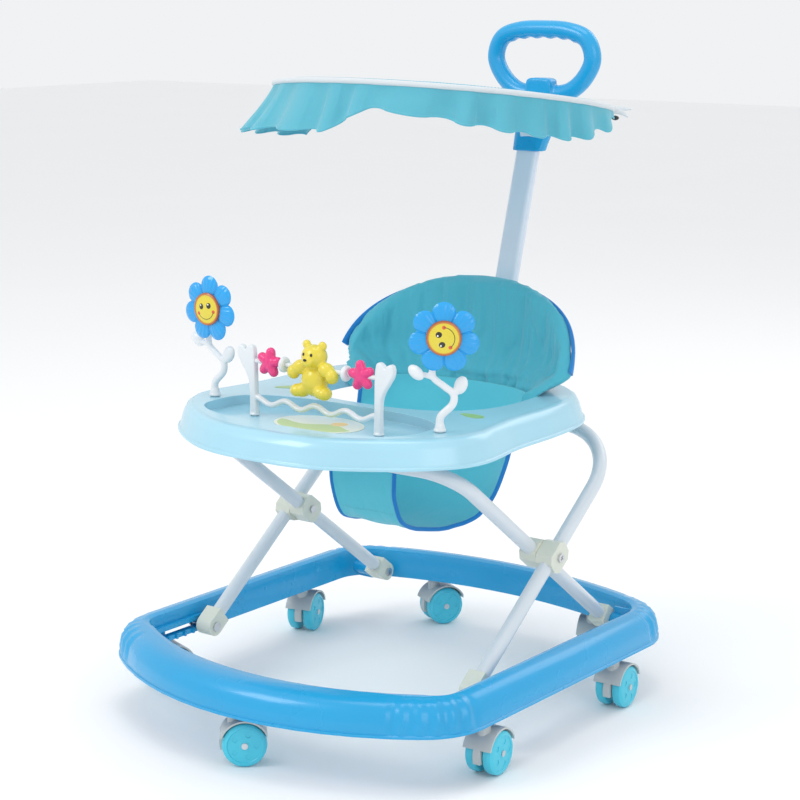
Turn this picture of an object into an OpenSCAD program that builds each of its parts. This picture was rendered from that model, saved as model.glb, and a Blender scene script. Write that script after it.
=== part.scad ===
// Folding baby walker: base ring on seven twin-wheel casters, two crossed
// tubular legs, play tray with a hanging seat, toys, push handle and canopy.
// Millimetres, +Z up, front towards -Y. The origin is on the floor under the
// middle of the whole walker.

/* [Base ring] */
// Width of the base ring
base_w = 570; // [560:2:700]
// Length of the base ring, front to back
base_l = 668; // [660:2:820]
// Height of the ring's top face above the floor
ring_top = 112; // [106:1:130]
// Height of the ring's lower lip above the floor
ring_bottom = 70; // [68:1:72]
// Width of the channel along the sides and back
side_channel = 40; // [38:1:46]
// Width of the channel across the front
front_channel = 56; // [44:1:64]
// Wall thickness of the moulded channel
ring_wall = 3; // [2:0.5:4]
// Plan radius of the bowed front
front_bow_r = 420; // [400:5:600]
// Plan radius of the bowed back
rear_bow_r = 641; // [500:5:900]
// Plan radius of the ring's corners
ring_corner_r = 90; // [80:1:96]
// Grooves pressed into each corner
flutes = 6; // [3:1:7]
// Depth of each groove
flute_depth = 3.4; // [1:0.1:4]

/* [Casters] */
// Diameter of a caster wheel
wheel_d = 56; // [50:1:60]
// Width of one wheel
wheel_w = 14; // [12:1:16]
// Gap between the two wheels of a caster
wheel_gap = 11; // [10:1:14]
// Distance from the swivel axis back to the axle
caster_trail = 12; // [8:1:14]
// Diameter of the caster's steel stem
stem_d = 8; // [6:0.5:10]
// Diameter of the caster's axle
caster_axle_d = 5; // [4:0.5:6]

/* [Folding legs] */
// Outside diameter of the leg tube
tube_d = 19; // [16:0.5:22]
// Wall of the leg tube
tube_wall = 1.2; // [1:0.1:2]
// Distance from a foot pivot to the crossing
half_leg = 220; // [205:1:230]
// Distance from the crossing up to the outer frame's cross bar
outer_upper_leg = 219; // [200:1:230]
// Distance from the crossing up to the inner frame's cross bar
inner_upper_leg = 230; // [200:1:232]
// Angle of the legs above the floor when raised
leg_angle = 37; // [32:0.5:40]
// Height of the foot pivots above the floor
foot_z = 84; // [82:1:88]
// Half the distance between the outer legs
outer_leg_x = 219; // [216:1:222]
// Half the distance between the inner legs
inner_leg_x = 194; // [188:1:195]
// Bend radius of the outer leg frame
outer_bend_r = 100; // [60:1:120]
// Bend radius of the inner leg frame
inner_bend_r = 50; // [40:1:90]
// Diameter of the pivot screws
pivot_d = 6; // [5:0.5:8]
// Diameter of the sliding foot pins
slide_pin_d = 8; // [6:0.5:9]
// Length that the sliding feet can travel
slide_travel = 84; // [60:1:90]

/* [Tray] */
// Height of the tray's rim above the floor
tray_top = 410; // [404:1:420]
// Height of the skirt around the tray
tray_skirt = 36; // [30:1:40]
// Half width of the tray's front lobe
tray_front_x = 236; // [228:1:246]
// Half width of the tray's rear lobe
tray_rear_x = 221; // [212:1:228]
// Length of the tray, front to back
tray_l = 516; // [500:2:540]
// Wall thickness of the tray
tray_wall = 3; // [2:0.5:4]
// Depth of the play recess
recess_depth = 13; // [6:1:18]
// Half width of the seat opening
opening_x = 158; // [148:1:164]
// Half length of the seat opening
opening_y = 132; // [124:1:136]

/* [Seat] */
// Height of the seat back's top edge above the floor
seat_back_top = 550; // [530:1:580]
// Thickness of the padded seat back
seat_pad = 13; // [8:1:16]
// Height of the sling's lowest point above the floor
sling_bottom = 224; // [212:1:240]
// Thickness of the sling's cloth
sling_cloth = 3; // [2:0.5:4]

/* [Toys] */
// Distance between the toy bar's posts
toy_posts = 201; // [190:1:215]
// Diameter of the toy rod
toy_rod_d = 6; // [5:0.5:8]
// Diameter of a flower across its petals
flower_d = 86; // [70:1:96]
// Distance between the flower stalks' feet
stalk_gap = 364; // [350:2:372]

/* [Push handle] */
// Width of the flat push tube
post_w = 36; // [30:1:40]
// Depth of the flat push tube
post_t = 15; // [12:1:18]
// Lean of the push tube from upright
post_lean = 16; // [12:0.5:18]
// Width of the handle loop
loop_w = 186; // [170:1:200]
// Height of the handle's top above the floor
handle_top = 889; // [870:1:920]
// Thickness of the handle's grip
grip_d = 25; // [22:1:28]

/* [Canopy] */
// Width of the canopy
canopy_w = 480; // [440:2:500]
// Length of the canopy
canopy_l = 400; // [380:2:410]
// Rise of the canopy towards the front, in degrees
canopy_pitch = 8.4; // [4:0.2:10]
// Depth of the hanging frill
frill_depth = 60; // [40:1:70]

/* [Hidden] */
$fn = 48;
CASTERS = [1, 2, 3, 4, 5, 6, 7];
SIDES = ["left", "right"];

running = 0.05;
play = 0.4;

half_w = base_w / 2;
half_l = base_l / 2;
front_bow_y = -half_l + front_bow_r;
rear_bow_y = half_l - rear_bow_r;
corner_x = half_w - ring_corner_r;
front_corner_y = front_bow_y - sqrt(pow(front_bow_r - ring_corner_r, 2) - corner_x * corner_x);
rear_corner_y = rear_bow_y + sqrt(pow(rear_bow_r - ring_corner_r, 2) - corner_x * corner_x);
front_turn = atan2(front_corner_y - front_bow_y, corner_x);
rear_turn = atan2(rear_corner_y - rear_bow_y, corner_x);
inner_wall_x = half_w - side_channel;
flute_pitch = 22;
flute_run = flutes * flute_pitch;

leg_cos = half_leg * cos(leg_angle);
leg_sin = half_leg * sin(leg_angle);
rear_foot_y = 242;
crossing_y = rear_foot_y - leg_cos;
crossing_z = foot_z + leg_sin;
front_foot_y = crossing_y - leg_cos;
outer_bar_y = crossing_y + outer_upper_leg * cos(leg_angle);
bar_z = foot_z + (half_leg + outer_upper_leg) * sin(leg_angle);
block_w = outer_leg_x - inner_leg_x - play;
foot_block = 26;
crossing_block = [40, 32];
screw_head_d = 12;
screw_head_t = 3;
rail_t = 7;

wheel_r = wheel_d / 2;
fork_top = ring_bottom - 1;
caster_mid = side_channel / 2;
rear_caster_x = 139;
rear_caster_y = rear_bow_y + sqrt(pow(rear_bow_r, 2) - pow(rear_caster_x, 2)) - caster_mid;
side_caster_x = half_w - caster_mid + 3;
// Each caster's place on the floor, its trailing direction and how far its
// socket's top lies below the top of the ring
CASTER_PLACES = [
    [0, -half_l + front_channel / 2, 42, ring_wall / 2],
    [side_caster_x, -155, 94, 8],
    [side_caster_x, 143, 94, 8],
    [-side_caster_x, 147, 106, 8],
    [-rear_caster_x, rear_caster_y, 61, 6],
    [-side_caster_x, -155, 70, 8],
    [rear_caster_x, rear_caster_y, 110, 6]
];

tray_bottom = tray_top - tray_skirt;
tray_mid_y = -9;
tray_front_y = tray_mid_y - tray_l / 2;
tray_rear_y = tray_mid_y + tray_l / 2;
opening_mid_y = 82;
recess_z = tray_top - recess_depth;
toy_y = -145;
stalk_y = -130;
rod_z = 469;
bead_x = 50;
star_x = 74;
flower_lift = 118;
flower_turn = 34;
flower_x = 5;

post_foot_z = 372;
post_foot_y = 233;
post_top_z = 735;
button_h = 56;
post_len = (post_top_z - post_foot_z) / cos(post_lean);
loop_y = 366;
loop_z = handle_top - grip_d / 2;
grip_r = grip_d / 2;
canopy_hinge_y = 333;
canopy_hinge_z = 762;
canopy_a = canopy_w / 2;
canopy_b = canopy_l / 2;
hub_reach = 14;
rim_d = 7;
rear_reach = loop_y + grip_r + 2;
origin_y = (rear_reach - half_l) / 2;

azure = [0.11, 0.62, 0.90];
sky = [0.68, 0.86, 0.93];
cream = [0.87, 0.88, 0.83];
tube_white = [0.85, 0.88, 0.92];
teal = [0.34, 0.71, 0.78];
turquoise = [0.30, 0.72, 0.81];
steel = [0.66, 0.67, 0.69];
pink = [0.94, 0.25, 0.54];
yellow = [0.90, 0.82, 0.28];

// ---- shared shapes -------------------------------------------------------

module from_base_centre() translate([0, -origin_y, 0]) children();

// Places children at a point, with their own Z along the walker's X
module along_x(at) translate(at) rotate([0, 90, 0]) children();

module both_sides() {
    children();
    mirror([1, 0, 0]) children();
}

function flat(lists) = [for (a = lists) for (b = a) b];

function spline(a, b, c, d, t) = 0.5 * ((2 * b) + (c - a) * t
    + (2 * a - 5 * b + 4 * c - d) * t * t + (3 * b - a - 3 * c + d) * t * t * t);

// Smooth closed curve through the points
function closed_curve(p, steps) = let (n = len(p)) [
    for (i = [0 : n - 1]) for (s = [0 : steps - 1])
        spline(p[(i + n - 1) % n], p[i], p[(i + 1) % n], p[(i + 2) % n], s / steps)
];

// Smooth open curve through the points
function open_curve(p, steps) = let (n = len(p)) concat([
    for (i = [0 : n - 2]) for (s = [0 : steps - 1])
        spline(p[max(i - 1, 0)], p[i], p[i + 1], p[min(i + 2, n - 1)], s / steps)
], [p[n - 1]]);

function side_normal(a, b) = let (d = b - a) [d.y, -d.x] / norm(d);

// Closed plan outline moved inwards by d; the outline runs anticlockwise
function inset(p, d) = let (n = len(p)) [
    for (i = [0 : n - 1]) p[i] - d * side_normal(p[(i + n - 1) % n], p[(i + 1) % n])
];

function at_height(p, z) = [for (q = p) [q.x, q.y, z]];

// Cap over a ring that runs out along one edge and back along the other
function strip_cap(m) = [for (j = [0 : ceil(m / 2) - 2])
    each concat([[m - 1 - j, j + 1, j]], j + 1 < m - 2 - j ? [[m - 1 - j, m - 2 - j, j + 1]] : [])];

// Solid skinned over rings of equal length, capped or joined end to end
module skin(rings, loop = false, strip = false) {
    n = len(rings);
    m = len(rings[0]);
    last = loop ? n - 1 : n - 2;
    walls = [for (i = [0 : last]) for (j = [0 : m - 1])
        let (a = i * m + j, b = i * m + (j + 1) % m, c = ((i + 1) % n) * m)
        each [[a, b, c + j], [b, c + (j + 1) % m, c + j]]];
    cap = loop ? [] : strip ? strip_cap(m) : [[for (j = [m - 1 : -1 : 0]) j]];
    caps = concat(cap, [for (f = cap) [for (k = [len(f) - 1 : -1 : 0]) (n - 1) * m + f[k]]]);
    polyhedron(flat(rings), concat(walls, caps), convexity = 8);
}

// Ring of points round a path point, in the plane of two unit vectors
function ring_round(at, u, v, ru, rv, n) = [
    for (k = [0 : n - 1]) at + ru * cos(360 * k / n) * u + rv * sin(360 * k / n) * v
];

function unit(v) = v / norm(v);

// Rings along a path that stays near one plane with the given normal
function path_rings(p, normal, r, n) = [
    for (i = [0 : len(p) - 1])
        let (d = unit(p[min(i + 1, len(p) - 1)] - p[max(i - 1, 0)]))
        ring_round(p[i], unit(cross(d, normal)), normal, r, r, n)
];

module rounded_bar(size, r, h) {
    linear_extrude(h) {
        square([size.x - 2 * r, size.y], center = true);
        square([size.x, size.y - 2 * r], center = true);
        for (i = [-1, 1], j = [-1, 1])
            translate([i * (size.x / 2 - r), j * (size.y / 2 - r)]) circle(r);
    }
}

module stadium(w, t, h) {
    linear_extrude(h) {
        square([w - t, t], center = true);
        for (i = [-1, 1]) translate([i * (w - t) / 2, 0]) circle(d = t);
    }
}

// Pan-head screw along +Z with its head's top at the origin
module pan_screw(length) {
    difference() {
        union() {
            translate([0, 0, -screw_head_t]) cylinder(d = screw_head_d, h = screw_head_t);
            translate([0, 0, -length]) cylinder(d = pivot_d, h = length - screw_head_t);
        }
        translate([0, 0, -screw_head_t / 2]) {
            for (a = [0, 90]) rotate(a) translate([-3.5, -0.7, 0]) cube([7, 1.4, screw_head_t]);
        }
    }
}

// ---- base ring -----------------------------------------------------------

function groove(s) = s < 0 || s > flute_run ? 0 : flute_depth * (0.5 - 0.5 * cos(360 * s / flute_pitch));

// Path length from the side's end of a corner to the normal at angle a
function corner_run(a, turn, bow_r) = a < turn
    ? ring_corner_r * a * PI / 180
    : (ring_corner_r * turn + bow_r * (a - turn)) * PI / 180;

function corner_angle(s, turn, bow_r) = s < ring_corner_r * turn * PI / 180
    ? s * 180 / PI / ring_corner_r
    : turn + (s - ring_corner_r * turn * PI / 180) * 180 / PI / bow_r;

// Quadrant of the plan outline, from the side to the middle of a bowed end:
// each entry is the outline point, its outward normal and its groove depth
function quadrant(turn, bow_r, bow_y, arc_y, end) = let (
    full = corner_run(90, turn, bow_r),
    plain = (full - flute_run) / 6,
    runs = concat([for (k = [0 : 6 * flutes]) k * flute_pitch / 6],
        [for (k = [1 : 5]) flute_run + k * plain])
) [for (s = runs) let (a = corner_angle(s, turn, bow_r), n = [cos(a), end * sin(a)])
    [a < turn ? [corner_x, arc_y] + ring_corner_r * n : [0, bow_y] + bow_r * n, n, groove(s)]];

function mirrored(q) = [for (i = [len(q) - 1 : -1 : 0])
    [[-q[i][0].x, q[i][0].y], [-q[i][1].x, q[i][1].y], q[i][2]]];

function reversed(q) = [for (i = [len(q) - 1 : -1 : 0]) q[i]];

function channel_width(n) = side_channel + (front_channel - side_channel) * pow(max(0, -n.y), 3);

// Cross-section of the channel: distance in from the outline, and height
function channel_section(w, g) = let (t = ring_wall, top = ring_top) [
    [0, ring_bottom], [0, ring_bottom + 3], [1.6, ring_bottom + 4], [0.8 + g, top - 30],
    [4 + g, top - 15], [11 + g, top - 6], [20 + g, top - 1.4], [30, top], [w - 9, top],
    [w - 2.5, top - 2.5], [w, top - 9], [w, ring_bottom],
    [w - t, ring_bottom], [w - t, top - 10], [w - 10, top - t], [30, top - t],
    [20 + g, top - t - 2], [13 + g, top - 9], [7 + g, top - 17], [4 + g, top - 30], [4.4, ring_bottom]
];

module ring_shell() {
    rear = quadrant(rear_turn, rear_bow_r, rear_bow_y, rear_corner_y, 1);
    front = quadrant(-front_turn, front_bow_r, front_bow_y, front_corner_y, -1);
    stations = concat(
        rear, [[[0, half_l], [0, 1], 0]], mirrored(rear),
        [for (q = front) [[-q[0].x, q[0].y], [-q[1].x, q[1].y], q[2]]],
        [[[0, -half_l], [0, -1], 0]], reversed(front)
    );
    skin([for (q = stations) [for (c = channel_section(channel_width(q[1]), q[2]))
        [q[0].x - c[0] * q[1].x, q[0].y - c[0] * q[1].y, c[1]]]], loop = true);
}

slot_h = slide_pin_d + 0.6;
slot_front = front_foot_y - slide_travel - 1;
slot_rear = front_foot_y + 1;

module slide_slot(depth, grow) {
    for (y = [slot_front, slot_rear]) along_x([0, y, foot_z])
        cylinder(d = slot_h + 2 * grow, h = depth);
    translate([0, slot_front, foot_z - slot_h / 2 - grow])
        cube([depth, slot_rear - slot_front, slot_h + 2 * grow]);
}

// Rail moulded on the inner wall, with ribs below the slot
module slide_rail() {
    rail_x = inner_wall_x - rail_t;
    translate([rail_x, slot_front - 14, foot_z - 11])
        cube([rail_t + 1, slot_rear - slot_front + 28, 22]);
    for (k = [0 : 6])
        translate([rail_x - 3, slot_front - 10 + k * 16, foot_z - 11]) cube([4, 3, 6]);
}

module foot_boss() {
    boss_x = inner_leg_x + block_w / 2 + play;
    along_x([boss_x, rear_foot_y, foot_z])
        cylinder(d = 22, h = inner_wall_x - boss_x + 1);
    translate([boss_x + 3, rear_foot_y - 2, ring_bottom])
        cube([inner_wall_x - boss_x - 2, 4, ring_top - ring_bottom - 8]);
}

module base_ring() {
    from_base_centre() color(azure) difference() {
        union() {
            ring_shell();
            both_sides() {
                slide_rail();
                foot_boss();
            }
            for (c = CASTER_PLACES) translate([c.x, c.y, ring_bottom])
                cylinder(d = stem_d + 6, h = ring_top - ring_bottom - c[3]);
        }
        both_sides() {
            translate([inner_wall_x - rail_t - 5, 0, 0]) slide_slot(rail_t + 5 + 2 * ring_wall, 0);
            along_x([inner_leg_x, rear_foot_y, foot_z])
                cylinder(r = pivot_d / 2 + running, h = inner_wall_x - inner_leg_x);
        }
        for (c = CASTER_PLACES) translate([c.x, c.y, ring_bottom - 1])
            cylinder(r = stem_d / 2 + running, h = 32);
    }
}

// ---- casters -------------------------------------------------------------

module at_caster(i) {
    place = CASTER_PLACES[i - 1];
    from_base_centre() translate([place.x, place.y, 0]) rotate(place.z) children();
}

module caster_stems() {
    for (i = CASTERS) at_caster(i) color(steel) {
        translate([0, 0, wheel_d - 1]) cylinder(d = stem_d, h = ring_bottom + 28 - wheel_d);
        translate([0, 0, wheel_d - 3.5]) cylinder(d = stem_d + 3, h = 2.5);
    }
}

// The fork trails along its own +X, with its axle along Y
module caster_fork(i) {
    bib_w = wheel_gap - 1.2;
    hood_r = wheel_r + 4;
    at_caster(i) color([0.76, 0.78, 0.77]) difference() {
        union() {
            translate([0, 0, wheel_d - 12]) cylinder(d = stem_d + 9, h = fork_top - wheel_d + 12);
            intersection() {
                translate([caster_trail, bib_w / 2, wheel_r]) rotate([90, 0, 0])
                    cylinder(r = hood_r - 1, h = bib_w);
                translate([-20, -bib_w / 2, wheel_r - 9]) cube([caster_trail + 29, bib_w, wheel_d]);
            }
            intersection() {
                translate([caster_trail, wheel_gap / 2 + wheel_w, wheel_r]) rotate([90, 0, 0])
                    cylinder(r = hood_r, h = wheel_gap + 2 * wheel_w);
                translate([-30, -30, wheel_r + 10]) cube([70, 60, 60]);
            }
        }
        for (a = [90, -90]) translate([caster_trail, 0, wheel_r]) rotate([a, 0, 0])
            translate([0, 0, bib_w / 2]) cylinder(r = wheel_r + 1.6, h = 2 * wheel_w);
        translate([0, 0, wheel_d - 4]) cylinder(r = stem_d / 2 + running, h = 20);
        translate([0, 0, wheel_d - 16]) cylinder(d = stem_d + 4, h = 15 + running);
        translate([caster_trail, 20, wheel_r]) rotate([90, 0, 0])
            cylinder(r = caster_axle_d / 2 + running, h = 40);
    }
}

module caster_axle(i) {
    span = wheel_gap + 2 * wheel_w;
    at_caster(i) color(steel) translate([caster_trail, span / 2, wheel_r]) rotate([90, 0, 0]) {
        cylinder(d = caster_axle_d, h = span);
        translate([0, 0, -1.2]) cylinder(d = caster_axle_d + 3, h = 1.2 - running);
        translate([0, 0, span + running]) cylinder(d = caster_axle_d + 3, h = 1.2);
        translate([0, 0, -running]) cylinder(d = caster_axle_d, h = span + 2 * running);
    }
}

module wheel() {
    crown = 3;
    difference() {
        rotate_extrude() polygon([
            [caster_axle_d / 2 + running, 0], [wheel_r - crown, 0], [wheel_r - 0.8, 1.6],
            [wheel_r, wheel_w / 2], [wheel_r - 0.8, wheel_w - 2.4], [wheel_r - crown, wheel_w - 0.6],
            [wheel_r - 6, wheel_w], [wheel_r - 7, wheel_w - 1.2], [7, wheel_w - 0.6], [6, wheel_w],
            [caster_axle_d / 2 + running, wheel_w]
        ]);
        for (a = [0 : 72 : 288]) rotate(a) translate([wheel_r * 0.52, 0, wheel_w - 1.6])
            cylinder(d = 7, h = 3);
    }
}

module caster_wheels(i) {
    at_caster(i) color(turquoise) translate([caster_trail, 0, wheel_r]) {
        for (a = [90, -90]) rotate([a, 0, 0]) translate([0, 0, wheel_gap / 2]) wheel();
    }
}

// ---- folding legs --------------------------------------------------------

// Leg plane: local +Y runs up the leg from its foot pivot, local X across
module outer_leg_plane() {
    from_base_centre() translate([0, front_foot_y, foot_z]) rotate([leg_angle, 0, 0]) children();
}

module inner_leg_plane() {
    from_base_centre() translate([0, rear_foot_y, foot_z]) rotate([180 - leg_angle, 0, 0]) children();
}

module tube_profile() {
    difference() {
        circle(d = tube_d);
        circle(d = tube_d - 2 * tube_wall);
    }
}

// U-shaped tube: two straight legs, two bends and a cross bar
module leg_tube(x, leg, bend_r) {
    foot_end = 8;
    both_sides() {
        translate([x, -foot_end, 0]) rotate([-90, 0, 0])
            linear_extrude(leg - bend_r + foot_end) tube_profile();
        translate([x - bend_r, leg - bend_r, 0])
            rotate_extrude(angle = 90) translate([bend_r, 0]) tube_profile();
    }
    translate([-(x - bend_r), leg, 0]) rotate([0, 90, 0])
        linear_extrude(2 * (x - bend_r)) tube_profile();
}

module cross_bore(x, y, r) along_x([x - 20, y, 0]) cylinder(r = r, h = 40);

module leg_frame(x, leg, bend_r, foot_r) {
    difference() {
        leg_tube(x, leg, bend_r);
        both_sides() {
            cross_bore(x, 0, foot_r + running);
            cross_bore(x, half_leg, pivot_d / 2 + running);
        }
    }
}

// Moulded foot: square at the tube, rounded about the pivot
module foot_cap(x, bore_r) {
    difference() {
        union() {
            along_x([x - block_w / 2, 0, 0]) cylinder(d = foot_block, h = block_w);
            translate([x - block_w / 2, 0, -foot_block / 2]) cube([block_w, 22, foot_block]);
        }
        translate([x, -8, 0]) rotate([-90, 0, 0]) cylinder(r = tube_d / 2 + running, h = 40);
        cross_bore(x, 0, bore_r + running);
    }
}

// Eight-sided clamp round the tube at the crossing
module crossing_clamp(x) {
    a = crossing_block.x / 2;
    b = crossing_block.y / 2;
    c = 8;
    difference() {
        translate([x - block_w / 2, half_leg, 0]) rotate([90, 0, 90]) linear_extrude(block_w)
            polygon([[a, b - c], [a - c, b], [c - a, b], [-a, b - c],
                [-a, c - b], [c - a, -b], [a - c, -b], [a, c - b]]);
        translate([x, half_leg - 30, 0]) rotate([-90, 0, 0])
            cylinder(r = tube_d / 2 + running, h = 60);
        cross_bore(x, half_leg, pivot_d / 2 + running);
    }
}

module outer_leg_frame() {
    outer_leg_plane() color(tube_white)
        leg_frame(outer_leg_x, half_leg + outer_upper_leg, outer_bend_r, slide_pin_d / 2);
}

module inner_leg_frame() {
    inner_leg_plane() color(tube_white)
        leg_frame(inner_leg_x, half_leg + inner_upper_leg, inner_bend_r, pivot_d / 2);
}

module outer_leg_blocks() {
    outer_leg_plane() color(cream) both_sides() {
        foot_cap(outer_leg_x, slide_pin_d / 2);
        crossing_clamp(outer_leg_x);
    }
}

module inner_leg_blocks() {
    inner_leg_plane() color(cream) both_sides() {
        foot_cap(inner_leg_x, pivot_d / 2);
        crossing_clamp(inner_leg_x);
    }
}

// Pins that run in the ring's slots, held by a collar behind the wall
module sliding_foot_pins() {
    inner = outer_leg_x - block_w / 2;
    collar_x = inner_wall_x + ring_wall + 1;
    outer_leg_plane() color(steel) both_sides() {
        along_x([inner - running, 0, 0]) cylinder(d = slide_pin_d, h = collar_x - inner + 3);
        along_x([inner - screw_head_t - running, 0, 0]) cylinder(d = screw_head_d + 1, h = screw_head_t);
        along_x([collar_x, 0, 0]) cylinder(d = slide_pin_d + 5, h = 2.5);
    }
}

module crossing_screws() {
    length = 2 * block_w + play + 2 * screw_head_t;
    inner = inner_leg_x - block_w / 2;
    inner_leg_plane() color(steel) both_sides() {
        along_x([inner + length - screw_head_t + running, half_leg, 0]) pan_screw(length);
        along_x([inner - screw_head_t - running, half_leg, 0])
            cylinder(d = screw_head_d - 1, h = screw_head_t, $fn = 6);
    }
}

module rear_foot_screws() {
    inner = inner_leg_x - block_w / 2;
    from_base_centre() color(steel) both_sides()
        along_x([inner - screw_head_t - running, rear_foot_y, foot_z]) rotate([180, 0, 0])
            pan_screw(inner_wall_x - inner - 4);
}

// ---- tray ----------------------------------------------------------------

TRAY_HALF = [
    [tray_front_x * 0.35, tray_front_y + 8], [tray_front_x * 0.67, tray_front_y + 48],
    [tray_front_x * 0.92, tray_front_y + 104], [tray_front_x, tray_front_y + 160],
    [tray_rear_x + 3, tray_mid_y - 10], [tray_rear_x, tray_mid_y + 88],
    [tray_rear_x * 0.93, tray_rear_y - 90], [tray_rear_x * 0.73, tray_rear_y - 32],
    [tray_rear_x * 0.36, tray_rear_y - 4]
];

function tray_outline() = closed_curve(concat([[0, tray_front_y]], TRAY_HALF, [[0, tray_rear_y]],
    [for (i = [len(TRAY_HALF) - 1 : -1 : 0]) [-TRAY_HALF[i].x, TRAY_HALF[i].y]]), 4);

// Seat opening, squarer than an ellipse
function opening_point(a, grow) = let (n = 2.6) [
    (opening_x + grow) * sign(cos(a)) * pow(abs(cos(a)), 2 / n),
    opening_mid_y + (opening_y + grow) * sign(sin(a)) * pow(abs(sin(a)), 2 / n)
];

function opening_outline(grow) = [for (k = [0 : 47]) opening_point(7.5 * k, grow)];

recess_front = tray_front_y + 52;
recess_rear = opening_mid_y - opening_y - 17;

// Play recess: bowed at its front, following the seat opening at its back
function recess_outline(grow) = [for (k = [0 : 47]) let (a = 7.5 * k, n = 2.8,
    mid = (recess_front + recess_rear) / 2, half = (recess_rear - recess_front) / 2 + grow,
    x = (tray_front_x - 70 + grow) * sign(cos(a)) * pow(abs(cos(a)), 2 / n))
    [x, mid + half * sign(sin(a)) * pow(abs(sin(a)), 2 / n)]];

module tray_body(t) {
    o = tray_outline();
    levels = t == 0
        ? [[0, 0], [0, 3], [3, 5], [8, tray_skirt - 14], [13, tray_skirt - 5], [21, tray_skirt]]
        : [[t + 1, -1], [t + 3, 5], [t + 8, tray_skirt - 16], [t + 13, tray_skirt - t - 4],
           [t + 20, tray_skirt - t]];
    skin([for (l = reversed(levels)) at_height(inset(o, l[0]), tray_bottom + l[1])]);
}

// The skin of a closed plan outline, as a straight wall
module plan_prism(p, z, h) translate([0, 0, z]) linear_extrude(h) polygon(p);

module tray() {
    from_base_centre() color(sky) difference() {
        union() {
            difference() {
                tray_body(0);
                tray_body(tray_wall);
            }
            plan_prism(recess_outline(tray_wall), recess_z - tray_wall, recess_depth + tray_wall - 1);
            difference() {
                plan_prism(opening_outline(tray_wall), tray_top - 24, 23);
                plan_prism(opening_outline(0), tray_top - 25, 26);
            }
        }
        plan_prism(recess_outline(0), recess_z, recess_depth + 1);
        plan_prism(opening_outline(0), tray_bottom - 1, tray_skirt + 2);
        for (x = [-toy_posts / 2, toy_posts / 2]) translate([x, toy_y, recess_z - 2 * tray_wall])
            cylinder(r = 3 + running, h = 20);
        for (x = [-stalk_gap / 2, stalk_gap / 2]) translate([x, stalk_y, tray_bottom])
            cylinder(r = 3 + running, h = tray_skirt + 2);
        translate([0, origin_y, 0]) post_axis() translate([0, 0, -20]) socket_outline(play, 140);
    }
}

// Clips under the tray hold the outer frame's cross bar
module tray_clips() {
    clip_w = 24;
    clip_x = 78;
    half = tube_d / 2 + 5;
    grasp = 6;
    web_y = opening_mid_y + opening_y - 4;
    from_base_centre() color(sky) both_sides() difference() {
        union() {
            translate([clip_x, outer_bar_y - half, bar_z - grasp])
                cube([clip_w, 2 * half, tray_bottom - play - bar_z + grasp]);
            translate([clip_x, web_y, bar_z + half])
                cube([clip_w, outer_bar_y - web_y, tray_bottom - play - bar_z - half]);
            translate([clip_x, web_y, bar_z + half - 2])
                cube([clip_w, 7, tray_top - tray_wall - bar_z - half + 2 - running]);
        }
        along_x([clip_x - 1, outer_bar_y, bar_z])
            cylinder(r = tube_d / 2 + running, h = clip_w + 2);
    }
}

module tray_latch() {
    from_base_centre() color([0.1, 0.1, 0.11]) translate([48, tray_front_y + 34, tray_bottom - 3]) {
        cube([30, 24, 5]);
        translate([5, 4, 4]) cube([20, 6, tray_skirt - tray_wall - 1 - running]);
    }
}

module tray_sticker() {
    from_base_centre() color([0.75, 0.82, 0.62]) translate([0, 0, recess_z + running])
        linear_extrude(0.6) polygon([for (k = [0 : 35]) [64 * cos(10 * k), -138 + 44 * sin(10 * k)]]);
}

// ---- seat ----------------------------------------------------------------

wing_x = 190;
wing_y = 95;
wing_mid_y = 140;
wing_top = 432;

// Padded back: it rises out of the opening, spreads over the tray and arches up
module seat_back() {
    first = 6;
    steps = 24;
    low = tray_top - 22;
    stations = [for (k = [0 : steps]) let (
        a = first + (180 - 2 * first) * k / steps,
        c = [cos(a), sin(a)],
        foot = opening_point(a, -3),
        wing = [wing_x * c.x, wing_mid_y + wing_y * c.y],
        skirt = foot + 0.35 * (wing - foot),
        top = wing_top + (seat_back_top - wing_top) * pow(c.y, 0.8),
        out = [foot, foot, skirt, wing, wing],
        z = [low, tray_top - 1, tray_top + 4, tray_top + 34, top - 6],
        in_z = [low, tray_top, tray_top + 14, tray_top + 38, top - 6])
        concat([for (i = [0 : 4]) [out[i].x, out[i].y, z[i]]],
            [[wing.x - seat_pad / 2 * c.x, wing.y - seat_pad / 2 * c.y, top]],
            [for (i = [4 : -1 : 0]) [out[i].x - seat_pad * c.x, out[i].y - seat_pad * c.y, in_z[i]]])];
    from_base_centre() color(teal) skin(stations, strip = true);
}

// Middle line of the sling from front to back: y, z, half width and how far
// its edges lie in front of its middle
SLING = [
    [-45, tray_top - 25, 54, 0], [-50, 320, 52, 0], [-46, 282, 50, 0], [-30, 250, 50, 0],
    [8, 234, 50, 0], [62, sling_bottom, 58, 4], [112, 236, 76, 18], [150, 264, 95, 42],
    [178, 304, 110, 66], [193, 346, 124, 82], [200, tray_top - 25, 138, 92]
];

module seat_sling() {
    line = open_curve(SLING, 3);
    n = len(line) - 1;
    function off(i) = let (a = line[max(i - 1, 0)], b = line[min(i + 1, n)])
        unit([b[1] - a[1], a[0] - b[0]]);
    function row(i, t) = [for (k = [-5 : 5]) let (u = k / 5, p = line[i], d = off(i) * t)
        [p[2] * u, p[0] - p[3] * u * u + d.x, p[1] + d.y]];
    from_base_centre() color(teal)
        skin([for (i = [0 : n]) concat(row(i, 0), reversed(row(i, sling_cloth)))], strip = true);
}

// ---- toys ----------------------------------------------------------------

// Flat post that spreads into two lobes at its top
POST_OUTLINE = [
    [-5, 0], [5, 0], [4.5, 42], [8, 62], [18, 78], [23, 90], [20, 98], [14, 99], [9, 92],
    [4, 96], [-2, 98], [-6, 93], [-6, 70], [-5, 42]
];

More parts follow.
